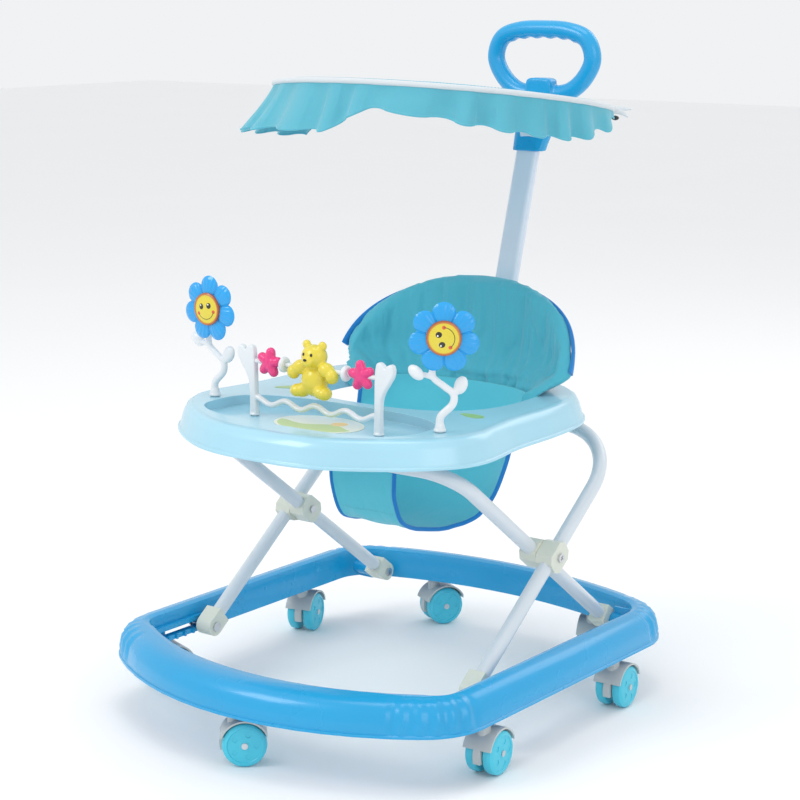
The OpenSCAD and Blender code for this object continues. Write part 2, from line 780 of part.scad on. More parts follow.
module toy_bar() {
    x = toy_posts / 2;
    thick = 9;
    from_base_centre() color("white") translate([0, toy_y, 0]) {
        difference() {
            both_sides() {
                translate([x, thick / 2, recess_z + running]) rotate([90, 0, 0])
                    linear_extrude(thick) polygon(POST_OUTLINE);
                translate([x, 0, recess_z + running]) cylinder(d = 14, h = 5);
                translate([x, 0, recess_z - tray_wall]) cylinder(r = 3, h = 5);
            }
            along_x([-x - 2, 0, rod_z]) cylinder(r = toy_rod_d / 2 + running, h = 2 * x + 4);
        }
        skin(path_rings(open_curve([for (k = [-6 : 6]) [k * (x - 3) / 6, 0, recess_z + 21 + 4 * cos(k * 60)]],
            3), [0, 1, 0], 3.5, 8));
    }
}

module toy_rod() {
    x = toy_posts / 2 + 1.9;
    from_base_centre() color("white") along_x([-x, toy_y, rod_z]) cylinder(d = toy_rod_d, h = 2 * x);
}

module on_rod(x) from_base_centre() translate([x, toy_y, rod_z]) children();

module rod_bore() along_x([-60, 0, 0]) cylinder(r = toy_rod_d / 2 + running, h = 120);

module toy_beads() {
    for (x = [-bead_x, bead_x]) on_rod(x) color("white") rotate([0, 90, 0]) rotate_extrude()
        polygon([[toy_rod_d / 2 + running, -3.5], [8, -3.5], [10, -1.5], [10, 1.5], [8, 3.5],
            [toy_rod_d / 2 + running, 3.5]]);
}

module toy_bear() {
    on_rod(0) color(yellow) difference() {
        union() {
            translate([0, 1, -18]) sphere(19);
            translate([0, 0, 15]) sphere(18);
            for (s = [-1, 1]) {
                translate([s * 11, 0, 31]) sphere(5.5);
                translate([s * 27, -1, -2]) sphere(15);
                translate([s * 22, -4, -27]) sphere(13);
            }
        }
        rod_bore();
    }
}

module toy_star(s) {
    on_rod(s * star_x) color(pink) difference() {
        union() {
            for (k = [0 : 4]) rotate([90, 0, 0]) rotate(k * 72 + 90)
                translate([13.9, 0, 0]) sphere(6.2);
            rotate([90, 0, 0]) cylinder(d = 24, h = 12, center = true);
        }
        rod_bore();
    }
}

module at_stalk(s) {
    from_base_centre() translate([s * stalk_gap / 2, stalk_y, tray_top])
        rotate(s > 0 ? flower_turn : 0) children();
}

// Stalk with two leaves; its head carries the flower's spindle
module flower_stalk(s) {
    at_stalk(s) color("white") {
        translate([0, 0, -10]) cylinder(r = 3, h = 10);
        translate([0, 0, 0.2]) cylinder(d1 = 12, d2 = 10, h = 8);
        skin(path_rings(open_curve([[0, 0, 4], [2, 0, 20], [16, 0, 36], [12, 0, 50], [-2, 0, 62],
            [-8, 0, 84], [flower_x - 1, 0, 108]], 4), [0, 1, 0], 4.5, 10));
        skin(path_rings(open_curve([[12, 0, 50], [24, 0, 58], [34, 0, 68]], 3), [0, 1, 0], 3.8, 8));
        skin(path_rings(open_curve([[-2, 0, 60], [-24, 0, 66], [-42, 0, 76]], 3), [0, 1, 0], 3.8, 8));
        translate([34, 0, 70]) sphere(8);
        translate([-43, 0, 78]) sphere(8);
        translate([flower_x, 4, flower_lift]) rotate([90, 0, 0]) cylinder(d = 18, h = 12);
        translate([flower_x, 0, flower_lift]) rotate([90, 0, 0]) cylinder(d = 6, h = 19);
    }
}

module at_flower(s) at_stalk(s) translate([flower_x, -9, flower_lift]) rotate([90, 0, 0]) children();

module flower(s) {
    petal_ring = flower_d * 0.30;
    petal = flower_d * 0.20;
    at_flower(s) color(azure) difference() {
        union() {
            cylinder(r = petal_ring, h = 7);
            for (k = [0 : 6]) rotate(k * 360 / 7 + 90) translate([petal_ring, 0, 0]) cylinder(r = petal, h = 9);
        }
        translate([0, 0, -1]) cylinder(r = 3 + running, h = 20);
    }
}

module flower_face(s) {
    at_flower(s) color([0.95, 0.62, 0.1]) difference() {
        translate([0, 0, 9 + running]) cylinder(d1 = 42, d2 = 38, h = 4);
        translate([0, 0, 8]) cylinder(r = 3 + running, h = 3);
    }
}

// ---- push handle ---------------------------------------------------------

module post_axis() from_base_centre() translate([0, post_foot_y, post_foot_z]) rotate([-post_lean, 0, 0]) children();

module socket_outline(grow, h) rounded_bar([post_w + 10 + 2 * grow, post_t + 9 + 2 * grow], 6, h);

module post_socket() {
    socket_h = 78;
    post_axis() color(azure) difference() {
        translate([0, 0, -6]) socket_outline(0, socket_h);
        stadium(post_w + 2 * play, post_t + 2 * play, socket_h + 1);
        translate([0, 0, button_h]) rotate([-90, 0, 0]) cylinder(r = 5 + 2 * running, h = 30);
    }
}

module push_post() {
    post_axis() color([0.80, 0.84, 0.92]) difference() {
        translate([0, 0, 1]) stadium(post_w, post_t, post_len);
        translate([0, 0, 0]) stadium(post_w - 3, post_t - 3, post_len + 2);
        translate([0, 0, button_h]) rotate([-90, 0, 0]) cylinder(r = 5 + running, h = 30);
    }
}

module post_button() {
    post_axis() color(cream) translate([0, 0, button_h]) rotate([-90, 0, 0]) {
        translate([0, 0, 1]) cylinder(r = 5, h = post_t / 2 + 7);
        translate([0, 0, -1]) cylinder(r = 5.8, h = 3);
    }
}

LOOP_HALF = [
    [0, 0], [40, -2], [loop_w / 2 - 23, -13], [loop_w / 2 - grip_r, -40], [68, -66], [46, -84],
    [20, -90], [0, -91]
];

// Loop with a wide top, narrowing to the neck over the push tube
module push_handle() {
    loop = closed_curve(concat(LOOP_HALF, [for (i = [len(LOOP_HALF) - 2 : -1 : 1])
        [-LOOP_HALF[i].x, LOOP_HALF[i].y]]), 4);
    n = len(loop);
    rings = [for (i = [0 : n - 1]) let (d = loop[(i + 1) % n] - loop[(i + n - 1) % n],
        side = unit([d.y, 0, -d.x] * -1))
        ring_round([loop[i].x, loop_y, loop_z + loop[i].y], side, [0, 1, 0], grip_r, grip_r, 12)];
    from_base_centre() color(azure) difference() {
        union() {
            skin(rings, loop = true);
            hull() {
                translate([0, loop_y - 1, loop_z - 92]) cube([84, 20, 10], center = true);
                translate([0, loop_y - 10, loop_z - 126]) cube([60, 26, 8], center = true);
                translate([0, loop_y - 33, post_top_z - 22]) cube([post_w + 12, post_t + 10, 6], center = true);
            }
            translate([-22, loop_y - 14, loop_z - 98]) cube([44, 28, 29]);
        }
        translate([0, origin_y, 0]) post_axis()
            stadium(post_w + 2 * running, post_t + 2 * running, post_len + 1 + running);
        bracket_foot(running);
    }
}

// ---- canopy --------------------------------------------------------------

// Canopy plane: local origin at its middle, front edge raised
module canopy_plane() {
    from_base_centre() translate([0, canopy_hinge_y, canopy_hinge_z]) rotate([-canopy_pitch, 0, 0])
        translate([0, -hub_reach - canopy_b, 0]) children();
}

function oval(a, b, z, n) = [for (k = [0 : n - 1]) [a * cos(360 * k / n), b * sin(360 * k / n), z]];

module canopy_rim() {
    n = 64;
    rings = [for (k = [0 : n - 1]) let (a = 360 * k / n, out = unit([canopy_b * cos(a), canopy_a * sin(a), 0]))
        ring_round([canopy_a * cos(a), canopy_b * sin(a), 0] - rim_d / 2 * out, out, [0, 0, 1],
            rim_d / 2, rim_d / 2, 8)];
    canopy_plane() color("white") skin(rings, loop = true);
}

module canopy_top() {
    t = 1.6;
    a = canopy_a - rim_d - play;
    b = canopy_b - rim_d - play;
    dome = 10;
    levels = [[1, 0], [0.8, 0.36], [0.55, 0.7], [0.25, 0.94]];
    canopy_plane() color(teal) skin(concat(
        [for (l = reversed(levels)) oval(a * l[0], b * l[0], dome * l[1] + t, 40)],
        [for (l = levels) oval(a * l[0], b * l[0], dome * l[1], 40)]));
}

// Gathered strip hanging under the rim round the front and sides
module canopy_frill() {
    n = 88;
    start = 160;
    sweep = 222;
    t = 1.4;
    flare = 14;
    stations = [for (k = [0 : n]) let (
        a = start + sweep * k / n,
        fade = min(1, min(k, n - k) / 12),
        deep = 0.5 + 0.5 * cos(a - 215),
        drop = 8 + fade * (frill_depth - 20 + 12 * deep),
        wave = fade * (3.5 * cos(k * 90) + flare * deep),
        out = unit([canopy_b * cos(a), canopy_a * sin(a), 0]),
        p = [canopy_a * cos(a), canopy_b * sin(a), -rim_d / 2 - play] - (rim_d / 2) * out,
        hem = p + wave * out - [0, 0, drop])
        [p - t * out, p, hem + t * out, hem]];
    canopy_plane() color(teal) skin([for (s = stations) reversed(s)]);
}

// Fixed hinge bracket on the front of the handle's neck
ear_x = 13;
ear_t = 6;

// Plate and ear roots of the canopy bracket, let into the front of the handle
module bracket_foot(grow) {
    half = ear_x + ear_t + grow;
    translate([-half, canopy_hinge_y + 7 - grow, canopy_hinge_z - 14 - grow])
        cube([2 * half, 6.5 + 2 * grow, 26 + 2 * grow]);
    for (x = [-ear_x - ear_t, ear_x]) translate([x - grow, canopy_hinge_y, canopy_hinge_z - 7 - grow])
        cube([ear_t + 2 * grow, 8, 14 + 2 * grow]);
}

module canopy_bracket() {
    from_base_centre() color("white") difference() {
        union() {
            bracket_foot(0);
            for (x = [-ear_x - ear_t, ear_x])
                along_x([x, canopy_hinge_y, canopy_hinge_z]) cylinder(d = 14, h = ear_t);
        }
        hinge_bore();
    }
}

module hinge_bore() along_x([-40, canopy_hinge_y, canopy_hinge_z]) cylinder(r = 3 + running, h = 80);

module canopy_hinge_pin() {
    from_base_centre() color(steel) along_x([-21, canopy_hinge_y, canopy_hinge_z]) cylinder(r = 3, h = 42);
}

// Moving half of the hinge, which carries the rim
module canopy_hub() {
    hub_x = 12.5;
    rim_y = canopy_b - rim_d - play;
    canopy_plane() color("white") difference() {
        union() {
            along_x([-hub_x, canopy_b + hub_reach, 0]) cylinder(d = 13, h = 2 * hub_x);
            translate([-hub_x, rim_y - 16, -rim_d / 2 - 4]) cube([2 * hub_x, hub_reach + rim_d + 16, 3.8]);
            translate([-hub_x, canopy_b + play, -rim_d / 2 - 4]) cube([2 * hub_x, hub_reach - 2, rim_d + 3]);
        }
        along_x([-40, canopy_b + hub_reach, 0]) cylinder(r = 3 + running, h = 80);
    }
}

// ---- all parts -----------------------------------------------------------

base_ring();
caster_stems();
for (i = CASTERS) caster_fork(i);
for (i = CASTERS) caster_axle(i);
for (i = CASTERS) caster_wheels(i);
outer_leg_frame();
outer_leg_blocks();
sliding_foot_pins();
inner_leg_frame();
inner_leg_blocks();
crossing_screws();
rear_foot_screws();
tray();
tray_clips();
tray_latch();
tray_sticker();
seat_back();
seat_sling();
toy_bar();
toy_rod();
toy_beads();
toy_bear();
toy_star(-1);  // toy_star_left
toy_star(1);  // toy_star_right
flower_stalk(-1);  // flower_stalk_left
flower_stalk(1);  // flower_stalk_right
flower(-1);  // flower_left
flower(1);  // flower_right
flower_face(-1);  // flower_face_left
flower_face(1);  // flower_face_right
post_socket();
push_post();
post_button();
push_handle();
canopy_bracket();
canopy_hinge_pin();
canopy_hub();
canopy_rim();
canopy_top();
canopy_frill();
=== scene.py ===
"""Looks of a folding baby walker: moulded ring and tray, cloth seat, toys, push handle and canopy.

Sizes are millimetres measured from the floor under the middle of the base ring, +Z up and the front
towards -Y. `Frame.place` turns them into the shared frame's metres.
"""

import logging
import math
from collections.abc import Callable, Iterable, Sequence
from dataclasses import dataclass
from enum import Enum

import bmesh
import bpy
from mathutils import Matrix, Vector, noise


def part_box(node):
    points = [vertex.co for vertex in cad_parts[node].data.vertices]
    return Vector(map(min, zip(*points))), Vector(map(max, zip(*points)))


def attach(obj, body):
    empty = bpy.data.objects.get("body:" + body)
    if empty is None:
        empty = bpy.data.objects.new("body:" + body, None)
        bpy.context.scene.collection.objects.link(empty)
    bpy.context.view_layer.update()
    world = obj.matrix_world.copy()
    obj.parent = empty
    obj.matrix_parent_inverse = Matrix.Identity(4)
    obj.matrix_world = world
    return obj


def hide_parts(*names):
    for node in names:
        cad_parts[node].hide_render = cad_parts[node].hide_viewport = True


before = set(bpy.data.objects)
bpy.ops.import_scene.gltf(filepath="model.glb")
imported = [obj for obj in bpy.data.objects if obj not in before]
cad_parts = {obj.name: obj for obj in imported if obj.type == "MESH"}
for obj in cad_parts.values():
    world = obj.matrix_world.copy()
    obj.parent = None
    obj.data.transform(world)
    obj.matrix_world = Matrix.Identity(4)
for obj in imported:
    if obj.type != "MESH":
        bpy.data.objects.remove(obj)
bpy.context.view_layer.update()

LOG = logging.getLogger("walker")
MM = 0.001
Point = tuple[float, float, float]
Color = tuple[float, float, float]


class Body(Enum):
    """CAD bodies that the new pieces ride on."""

    BASE = "base"
    INNER = "inner_legs"
    OUTER = "outer_legs"
    TRAY = "tray_assembly"
    CANOPY = "canopy"


class Way(Enum):
    """How a cloth's threads are laid out."""

    UV = "uv"
    OBJECT = "object"


# ---- shader nodes ---------------------------------------------------------


class Wire:
    """A shader socket whose operators add Math nodes."""

    def __init__(self, tree: bpy.types.NodeTree, socket: bpy.types.NodeSocket) -> None:
        """Wraps one output socket."""
        self.tree = tree
        self.socket = socket

    def math(self, operation: str, other: "Wire | float | None" = None, swap: bool = False) -> "Wire":
        """Adds one Math node.

        Args:
            operation: the node's operation.
            other: the second operand, if it takes one.
            swap: puts this wire second.

        Returns:
            The node's output.
        """
        node = self.tree.nodes.new("ShaderNodeMath")
        node.operation = operation
        for slot, value in zip((1, 0) if swap else (0, 1), (self, other)):
            if isinstance(value, Wire):
                self.tree.links.new(value.socket, node.inputs[slot])
            elif value is not None:
                node.inputs[slot].default_value = value
        return Wire(self.tree, node.outputs[0])

    def __add__(self, other: "Wire | float") -> "Wire":
        """Sum."""
        return self.math("ADD", other)

    __radd__ = __add__

    def __mul__(self, other: "Wire | float") -> "Wire":
        """Product."""
        return self.math("MULTIPLY", other)

    __rmul__ = __mul__

    def __sub__(self, other: "Wire | float") -> "Wire":
        """Difference."""
        return self.math("SUBTRACT", other)

    def __rsub__(self, other: "Wire | float") -> "Wire":
        """Difference, with this wire second."""
        return self.math("SUBTRACT", other, swap=True)

    def __pow__(self, other: "Wire | float") -> "Wire":
        """Power."""
        return self.math("POWER", other)

    def sine(self) -> "Wire":
        """Sine of the value in radians."""
        return self.math("SINE")

    def above(self, limit: float) -> "Wire":
        """1 where the value is above the limit, 0 elsewhere."""
        return self.math("GREATER_THAN", limit)


class NodeBook:
    """One material's node tree, ending in a Principled shader."""

    def __init__(self, name: str) -> None:
        """Starts an empty material."""
        self.material = bpy.data.materials.new(name)
        self.material.use_nodes = True
        self.tree = self.material.node_tree
        self.tree.nodes.clear()

    def add(self, kind: str, settings: dict[str, object] | None = None,
            inputs: dict[str | int, object] | None = None) -> bpy.types.Node:
        """Adds a node.

        Args:
            kind: the node's type, without the "ShaderNode" in front.
            settings: the node's own properties; "stops" holds a ramp's positions and colours.
            inputs: values or wires for its sockets, by name or number.

        Returns:
            The new node.
        """
        node = self.tree.nodes.new("ShaderNode" + kind)
        for key, value in (settings or {}).items():
            if key == "stops":
                ramp = node.color_ramp
                for index, (position, color) in enumerate(value):
                    stop = ramp.elements[index] if index < 2 else ramp.elements.new(position)
                    stop.position, stop.color = position, (*color, 1)
            else:
                setattr(node, key, value)
        for key, value in (inputs or {}).items():
            if isinstance(value, Wire):
                self.tree.links.new(value.socket, node.inputs[key])
            else:
                node.inputs[key].default_value = value
        return node

    def wire(self, node: bpy.types.Node, output: str | int = 0) -> Wire:
        """Wraps one output of a node."""
        return Wire(self.tree, node.outputs[output])

    def place(self, uv: bool = False) -> Wire:
        """The surface's own coordinates: its UV map, or Object coordinates."""
        return self.wire(self.add("TexCoord"), "UV" if uv else "Object")

    def noise(self, at: Wire, scale: float, detail: float = 3.0, stretch: Point = (1, 1, 1)) -> Wire:
        """Noise over a surface.

        Args:
            at: the coordinates.
            scale: waves per metre.
            detail: octaves.
            stretch: scale of each axis.

        Returns:
            A value from 0 to 1.
        """
        moved = self.wire(self.add("Mapping", None, {"Vector": at, "Scale": stretch}))
        return self.wire(self.add("TexNoise", None, {"Vector": moved, "Scale": scale, "Detail": detail}))

    def blend(self, factor: Wire, first: "Color | Wire", second: "Color | Wire") -> Wire:
        """Mixes two colours by a factor."""
        node = self.add("Mix", {"data_type": "RGBA"}, {0: factor})
        for slot, value in ((6, first), (7, second)):
            if isinstance(value, Wire):
                self.tree.links.new(value.socket, node.inputs[slot])
            else:
                node.inputs[slot].default_value = (*value, 1)
        return self.wire(node, 2)

    def bump(self, height: Wire, distance: float, strength: float = 1.0) -> Wire:
        """Normal bumped by a height."""
        return self.wire(self.add("Bump", None, {"Height": height, "Distance": distance, "Strength": strength}))

    def close(self, inputs: dict[str, object]) -> bpy.types.Material:
        """Adds the Principled shader and the output."""
        shader = self.add("BsdfPrincipled", None, inputs)
        output = self.add("OutputMaterial")
        self.tree.links.new(shader.outputs[0], output.inputs[0])
        return self.material


def shade(color: Color, factor: float) -> Color:
    """A colour made darker or lighter, kept below white."""
    return tuple(min(0.98, channel * factor) for channel in color)


# ---- finishes -------------------------------------------------------------


@dataclass(frozen=True)
class Plastic:
    """Injection-moulded plastic: faint flow clouds, a slight waviness and fine grain."""

    name: str
    color: Color
    rough: float = 0.26
    coat: float = 0.35
    grain: float = 0.10

    def make(self) -> bpy.types.Material:
        """Builds the material."""
        book = NodeBook(self.name)
        at = book.place()
        cloud = book.noise(at, 11.0, 3.0)
        specks = book.noise(at, 1400.0, 2.0)
        waves = book.noise(at, 34.0, 1.0)
        color = book.blend(cloud, shade(self.color, 0.93), shade(self.color, 1.05))
        normal = book.bump(specks * self.grain + waves * 0.55, 0.0006, 0.35)
        return book.close({"Base Color": color, "Roughness": cloud * 0.08 + (self.rough - 0.04),
                           "Coat Weight": self.coat, "Coat Roughness": 0.08, "IOR": 1.5, "Normal": normal})


@dataclass(frozen=True)
class Enamel:
    """Sprayed and baked paint on steel tube, with orange peel."""

    name: str
    color: Color
    rough: float = 0.30

    def make(self) -> bpy.types.Material:
        """Builds the material."""
        book = NodeBook(self.name)
        at = book.place()
        peel = book.noise(at, 520.0, 2.0)
        cloud = book.noise(at, 17.0, 4.0)
        rub = book.noise(at, 60.0, 7.0, (1.0, 1.0, 0.25)).above(0.70)
        color = book.blend(rub * 0.35, book.blend(cloud, shade(self.color, 0.95), shade(self.color, 1.04)),
                           (0.55, 0.57, 0.60))
        return book.close({"Base Color": color, "Roughness": peel * 0.10 + rub * 0.15 + (self.rough - 0.05),
                           "Coat Weight": 0.45, "Coat Roughness": 0.12, "Metallic": 0.0,
                           "Normal": book.bump(peel, 0.0004, 0.25)})


@dataclass(frozen=True)
class Steel:
    """Zinc-plated steel with turning marks."""

    name: str
    color: Color = (0.66, 0.67, 0.69)

    def make(self) -> bpy.types.Material:
        """Builds the material."""
        book = NodeBook(self.name)
        at = book.place()
        marks = book.noise(at, 300.0, 3.0, (1.0, 1.0, 14.0))
        bloom = book.noise(at, 90.0, 5.0)
        color = book.blend(bloom, shade(self.color, 0.85), shade(self.color, 1.08))
        return book.close({"Base Color": color, "Metallic": 1.0, "Roughness": bloom * 0.2 + marks * 0.12 + 0.18,
                           "Normal": book.bump(marks, 0.0002, 0.3)})


@dataclass(frozen=True)
class Cloth:
    """Woven polyester: warp and weft, slubs, a soft nap and faded folds."""

    name: str
    color: Color
    pitch: float = 0.9
    weave: float = 0.25
    way: Way = Way.UV
    glow: float = 0.0

    def make(self) -> bpy.types.Material:
        """Builds the material; thread pitch and depth are millimetres."""
        book = NodeBook(self.name)
        at = book.place(self.way is Way.UV)
        split = book.add("SeparateXYZ", None, {0: at})
        turn = 2 * math.pi / (self.pitch * MM)
        warp = (book.wire(split, 0) * turn).sine()
        weft = (book.wire(split, 1 if self.way is Way.UV else 2) * turn).sine()
        threads = warp * weft * 0.5 + 0.5
        slub = book.noise(at, 240.0, 3.0, (1.0, 6.0, 1.0))
        fade = book.noise(at, 9.0, 4.0)
        crease = book.noise(at, 46.0, 3.0, (1.6, 0.5, 1.0))
        color = book.blend(fade * 0.6 + slub * 0.4, shade(self.color, 0.88), shade(self.color, 1.10))
        deep = book.blend(threads * 0.30, color, shade(self.color, 0.72))
        first = book.bump(threads + slub * 0.8, self.weave * MM, 0.55)
        folds = book.add("Bump", None, {"Height": crease, "Distance": 0.0022, "Strength": 0.5, "Normal": first})
        return book.close({"Base Color": deep, "Roughness": slub * 0.12 + 0.76, "Sheen Weight": 0.35,
                           "Sheen Roughness": 0.4, "Specular IOR Level": 0.25, "Normal": book.wire(folds),
                           "Subsurface Weight": self.glow, "Subsurface Scale": 0.004})


@dataclass(frozen=True)
class Face:
    """Printed disc of a flower: orange rim, yellow middle, two eyes and a smile."""

    name: str
    middle: Point
    across: Point
    upward: Point
    radius: float

    def make(self) -> bpy.types.Material:
        """Builds the material from distances in the disc's own plane."""
        book = NodeBook(self.name)
        at = book.place()

        def along(axis: Point) -> Wire:
            """Distance from the disc's middle along an axis, in radii."""
            offset = book.add("VectorMath", {"operation": "SUBTRACT"}, {0: at, 1: self.middle})
            dot = book.add("VectorMath", {"operation": "DOT_PRODUCT"}, {0: book.wire(offset), 1: axis})
            return book.wire(dot, "Value") * (1 / self.radius)

        def disc(x: float, y: float, r: float, squash: float = 1.0) -> Wire:
            """1 inside an oval on the disc."""
            left, up = right - x, top - y
            return 1.0 - (left * left + up * up * squash).above(r * r)

        right, top = along(self.across), along(self.upward)
        reach = (right * right + top * top) ** 0.5
        ring = book.wire(book.add("ValToRGB", {"stops": [
            (0.0, (0.74, 0.62, 0.05)), (0.84, (0.74, 0.60, 0.04)), (0.88, (0.62, 0.22, 0.03)),
            (0.98, (0.40, 0.09, 0.02))]}, {0: reach}))
        smile = disc(0, 0.02, 0.66) * (1.0 - disc(0, 0.02, 0.62)) * (1.0 - top.above(-0.22))
        dark = disc(-0.30, 0.20, 0.17, 0.85) + disc(0.30, 0.20, 0.17, 0.85) + smile
        glint = disc(-0.34, 0.28, 0.05) + disc(0.26, 0.28, 0.05)
        cheeks = book.blend(disc(-0.60, -0.20, 0.11) + disc(0.60, -0.20, 0.11), ring, (0.70, 0.10, 0.03))
        face = book.blend(glint, book.blend(dark, cheeks, (0.02, 0.015, 0.01)), (0.95, 0.95, 0.95))
        grain = book.noise(at, 900.0, 2.0)
        return book.close({"Base Color": face, "Roughness": grain * 0.08 + 0.24, "Coat Weight": 0.4,
                           "Normal": book.bump(grain, 0.0002, 0.3)})


@dataclass(frozen=True)
class Print:
    """Vinyl sticker with a plain generic picture of meadow, sun and dots."""

    name: str
    middle: Point
    half: tuple[float, float]

    def make(self) -> bpy.types.Material:
        """Builds the material."""
        book = NodeBook(self.name)
        at = book.place()
        moved = book.wire(book.add("VectorMath", {"operation": "SUBTRACT"}, {0: at, 1: self.middle}))
        split = book.add("SeparateXYZ", None, {0: moved})
        x, y = book.wire(split, 0) * (1 / self.half[0]), book.wire(split, 1) * (1 / self.half[1])
        reach = (x * x + y * y) ** 0.5
        hills = (x * 5.2).sine() * 0.14 + (x * 2.1 + 0.8).sine() * 0.10
        meadow = (hills - y).above(0.1)
        sky = book.blend(y * 0.5 + 0.5, (0.88, 0.84, 0.62), (0.66, 0.80, 0.86))
        sun_x, sun_y = x - 0.35, y - 0.30
        sun = 1.0 - (sun_x * sun_x + sun_y * sun_y * 0.5).above(0.03)
        dots = book.add("TexVoronoi", {"feature": "DISTANCE_TO_EDGE"}, {"Vector": moved, "Scale": 60.0})
        petals = book.wire(dots).above(0.36) * meadow
        base = book.blend(sun, book.blend(meadow, sky, (0.45, 0.62, 0.20)), (0.93, 0.62, 0.16))
        picture = book.blend(petals, base, (0.90, 0.45, 0.42))
        edge = book.blend(reach.above(0.93), picture, (0.80, 0.83, 0.70))
        grain = book.noise(at, 700.0, 2.0)
        return book.close({"Base Color": edge, "Roughness": grain * 0.1 + 0.3, "Coat Weight": 0.3,
                           "Normal": book.bump(grain, 0.0002, 0.2)})


AZURE = Plastic("azure_gloss", (0.008, 0.350, 0.680), 0.27, 0.22)
SKY = Plastic("sky_gloss", (0.370, 0.660, 0.790), 0.25, 0.40)
BLOOM = Plastic("bloom_blue", (0.010, 0.350, 0.780), 0.25, 0.40)
WHITE = Plastic("white_gloss", (0.770, 0.800, 0.820), 0.28, 0.35)
CREAM = Plastic("cream_satin", (0.680, 0.710, 0.620), 0.42, 0.10, 0.3)
HOUSING = Plastic("housing_satin", (0.500, 0.540, 0.545), 0.40, 0.12, 0.3)
WHEEL = Plastic("wheel_satin", (0.060, 0.560, 0.730), 0.38, 0.15, 0.3)
BLACK = Plastic("black_satin", (0.018, 0.018, 0.020), 0.40, 0.10, 0.3)
YELLOW = Plastic("bear_yellow", (0.790, 0.640, 0.055), 0.27, 0.35)
PINK = Plastic("star_pink", (0.840, 0.035, 0.220), 0.25, 0.40)
LEAF = Plastic("leaf_green", (0.330, 0.560, 0.130), 0.30, 0.25)
TUBE = Enamel("leg_enamel", (0.640, 0.700, 0.750))
POST = Enamel("post_enamel", (0.700, 0.760, 0.850))
ZINC = Steel("zinc_steel")
SEAT_WRAP = Cloth("seat_teal_back", (0.095, 0.500, 0.620), 0.8)
SLING = Cloth("sling_teal", (0.130, 0.640, 0.760), 0.8)
BINDING = Cloth("binding_blue", (0.020, 0.240, 0.640), 0.6, 0.2, Way.OBJECT)
FRILL = Cloth("frill_teal", (0.115, 0.470, 0.590), 0.5, 0.15, glow=0.15)
CANOPY = Cloth("canopy_teal", (0.140, 0.500, 0.630), 0.5, 0.15, glow=0.15)
HEM = Cloth("hem_white", (0.700, 0.750, 0.780), 0.5, 0.15, Way.OBJECT)
THREAD = Cloth("sewing_thread", (0.120, 0.460, 0.580), 0.3, 0.05, Way.OBJECT)


# ---- mesh helpers ---------------------------------------------------------


class Frame:
    """The walker's own millimetres, measured from the middle of the base ring."""

    low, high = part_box("base_ring")
    middle_y = (low.y + high.y) / 2

    @classmethod
    def place(cls, x: float, y: float, z: float) -> Vector:
        """A point in the shared frame, in metres."""
        return Vector((x * MM, y * MM + cls.middle_y, z * MM))


def finish_mesh(name: str, verts: Iterable[Point], faces: Iterable[Sequence[int]],
                uv: Callable[[int], tuple[float, float]] | None = None) -> bpy.types.Object:
    """Makes a smooth object from millimetre points, with its normals outward.

    Args:
        name: the piece's name.
        verts: points in the walker's millimetres.
        faces: vertex numbers of each face.
        uv: gives a vertex's place on its cloth, in millimetres.

    Returns:
        The linked object.
    """
    mesh = bpy.data.meshes.new(name)
    mesh.from_pydata([Frame.place(*v) for v in verts], [], [list(f) for f in faces])
    if uv:
        layer = mesh.uv_layers.new(name="UVMap")
        for loop in mesh.loops:
            u, v = uv(loop.vertex_index)
            layer.data[loop.index].uv = (u * MM, v * MM)
    return settle(link(name, mesh))


def link(name: str, mesh: bpy.types.Mesh) -> bpy.types.Object:
    """Links a mesh as a new object."""
    piece = bpy.data.objects.new(name, mesh)
    bpy.context.scene.collection.objects.link(piece)
    return piece


def settle(piece: bpy.types.Object, angle: float = 40.0) -> bpy.types.Object:
    """Turns the faces outwards and smooths all but the sharp edges.

    Args:
        piece: a closed mesh.
        angle: edges sharper than this many degrees stay sharp.

    Returns:
        The same object.
    """
    work = bmesh.new()
    work.from_mesh(piece.data)
    bmesh.ops.remove_doubles(work, verts=work.verts, dist=1e-6)
    bmesh.ops.recalc_face_normals(work, faces=work.faces)
    for face in work.faces:
        face.smooth = True
    for edge in work.edges:
        edge.smooth = not (edge.is_manifold and edge.calc_face_angle(0) > math.radians(angle))
    work.to_mesh(piece.data)
    work.free()
    return piece


def bake(piece: bpy.types.Object) -> bpy.types.Object:
    """Applies every modifier on a piece by replacing its mesh with the evaluated one."""
    depsgraph = bpy.context.evaluated_depsgraph_get()
    depsgraph.update()
    mesh = bpy.data.meshes.new_from_object(piece.evaluated_get(depsgraph), depsgraph=depsgraph)
    piece.modifiers.clear()
    piece.data = mesh
    return piece


def modify(piece: bpy.types.Object, kind: str, **settings: object) -> bpy.types.Object:
    """Adds one modifier and bakes it.

    Args:
        piece: the object.
        kind: the modifier's type.
        settings: its properties.

    Returns:
        The same object.
    """
    modifier = piece.modifiers.new(kind.title(), kind)
    for key, value in settings.items():
        setattr(modifier, key, value)
    return bake(piece)


def skin(rings: Sequence[Sequence[Point]], loop: bool = False) -> tuple[list[Point], list[list[int]]]:
    """Faces over rings of equal length, joined end to end or capped with fans."""
    count, size = len(rings), len(rings[0])
    verts = [point for ring in rings for point in ring]
    faces = [[i * size + j, i * size + (j + 1) % size, (i + 1) % count * size + (j + 1) % size,
              (i + 1) % count * size + j]
             for i in range(count if loop else count - 1) for j in range(size)]
    if not loop:
        for row in (0, count - 1):
            ring = rings[row]
            verts.append(tuple(sum(p[k] for p in ring) / size for k in range(3)))
            faces += [[row * size + j, row * size + (j + 1) % size, len(verts) - 1] for j in range(size)]
    return verts, faces


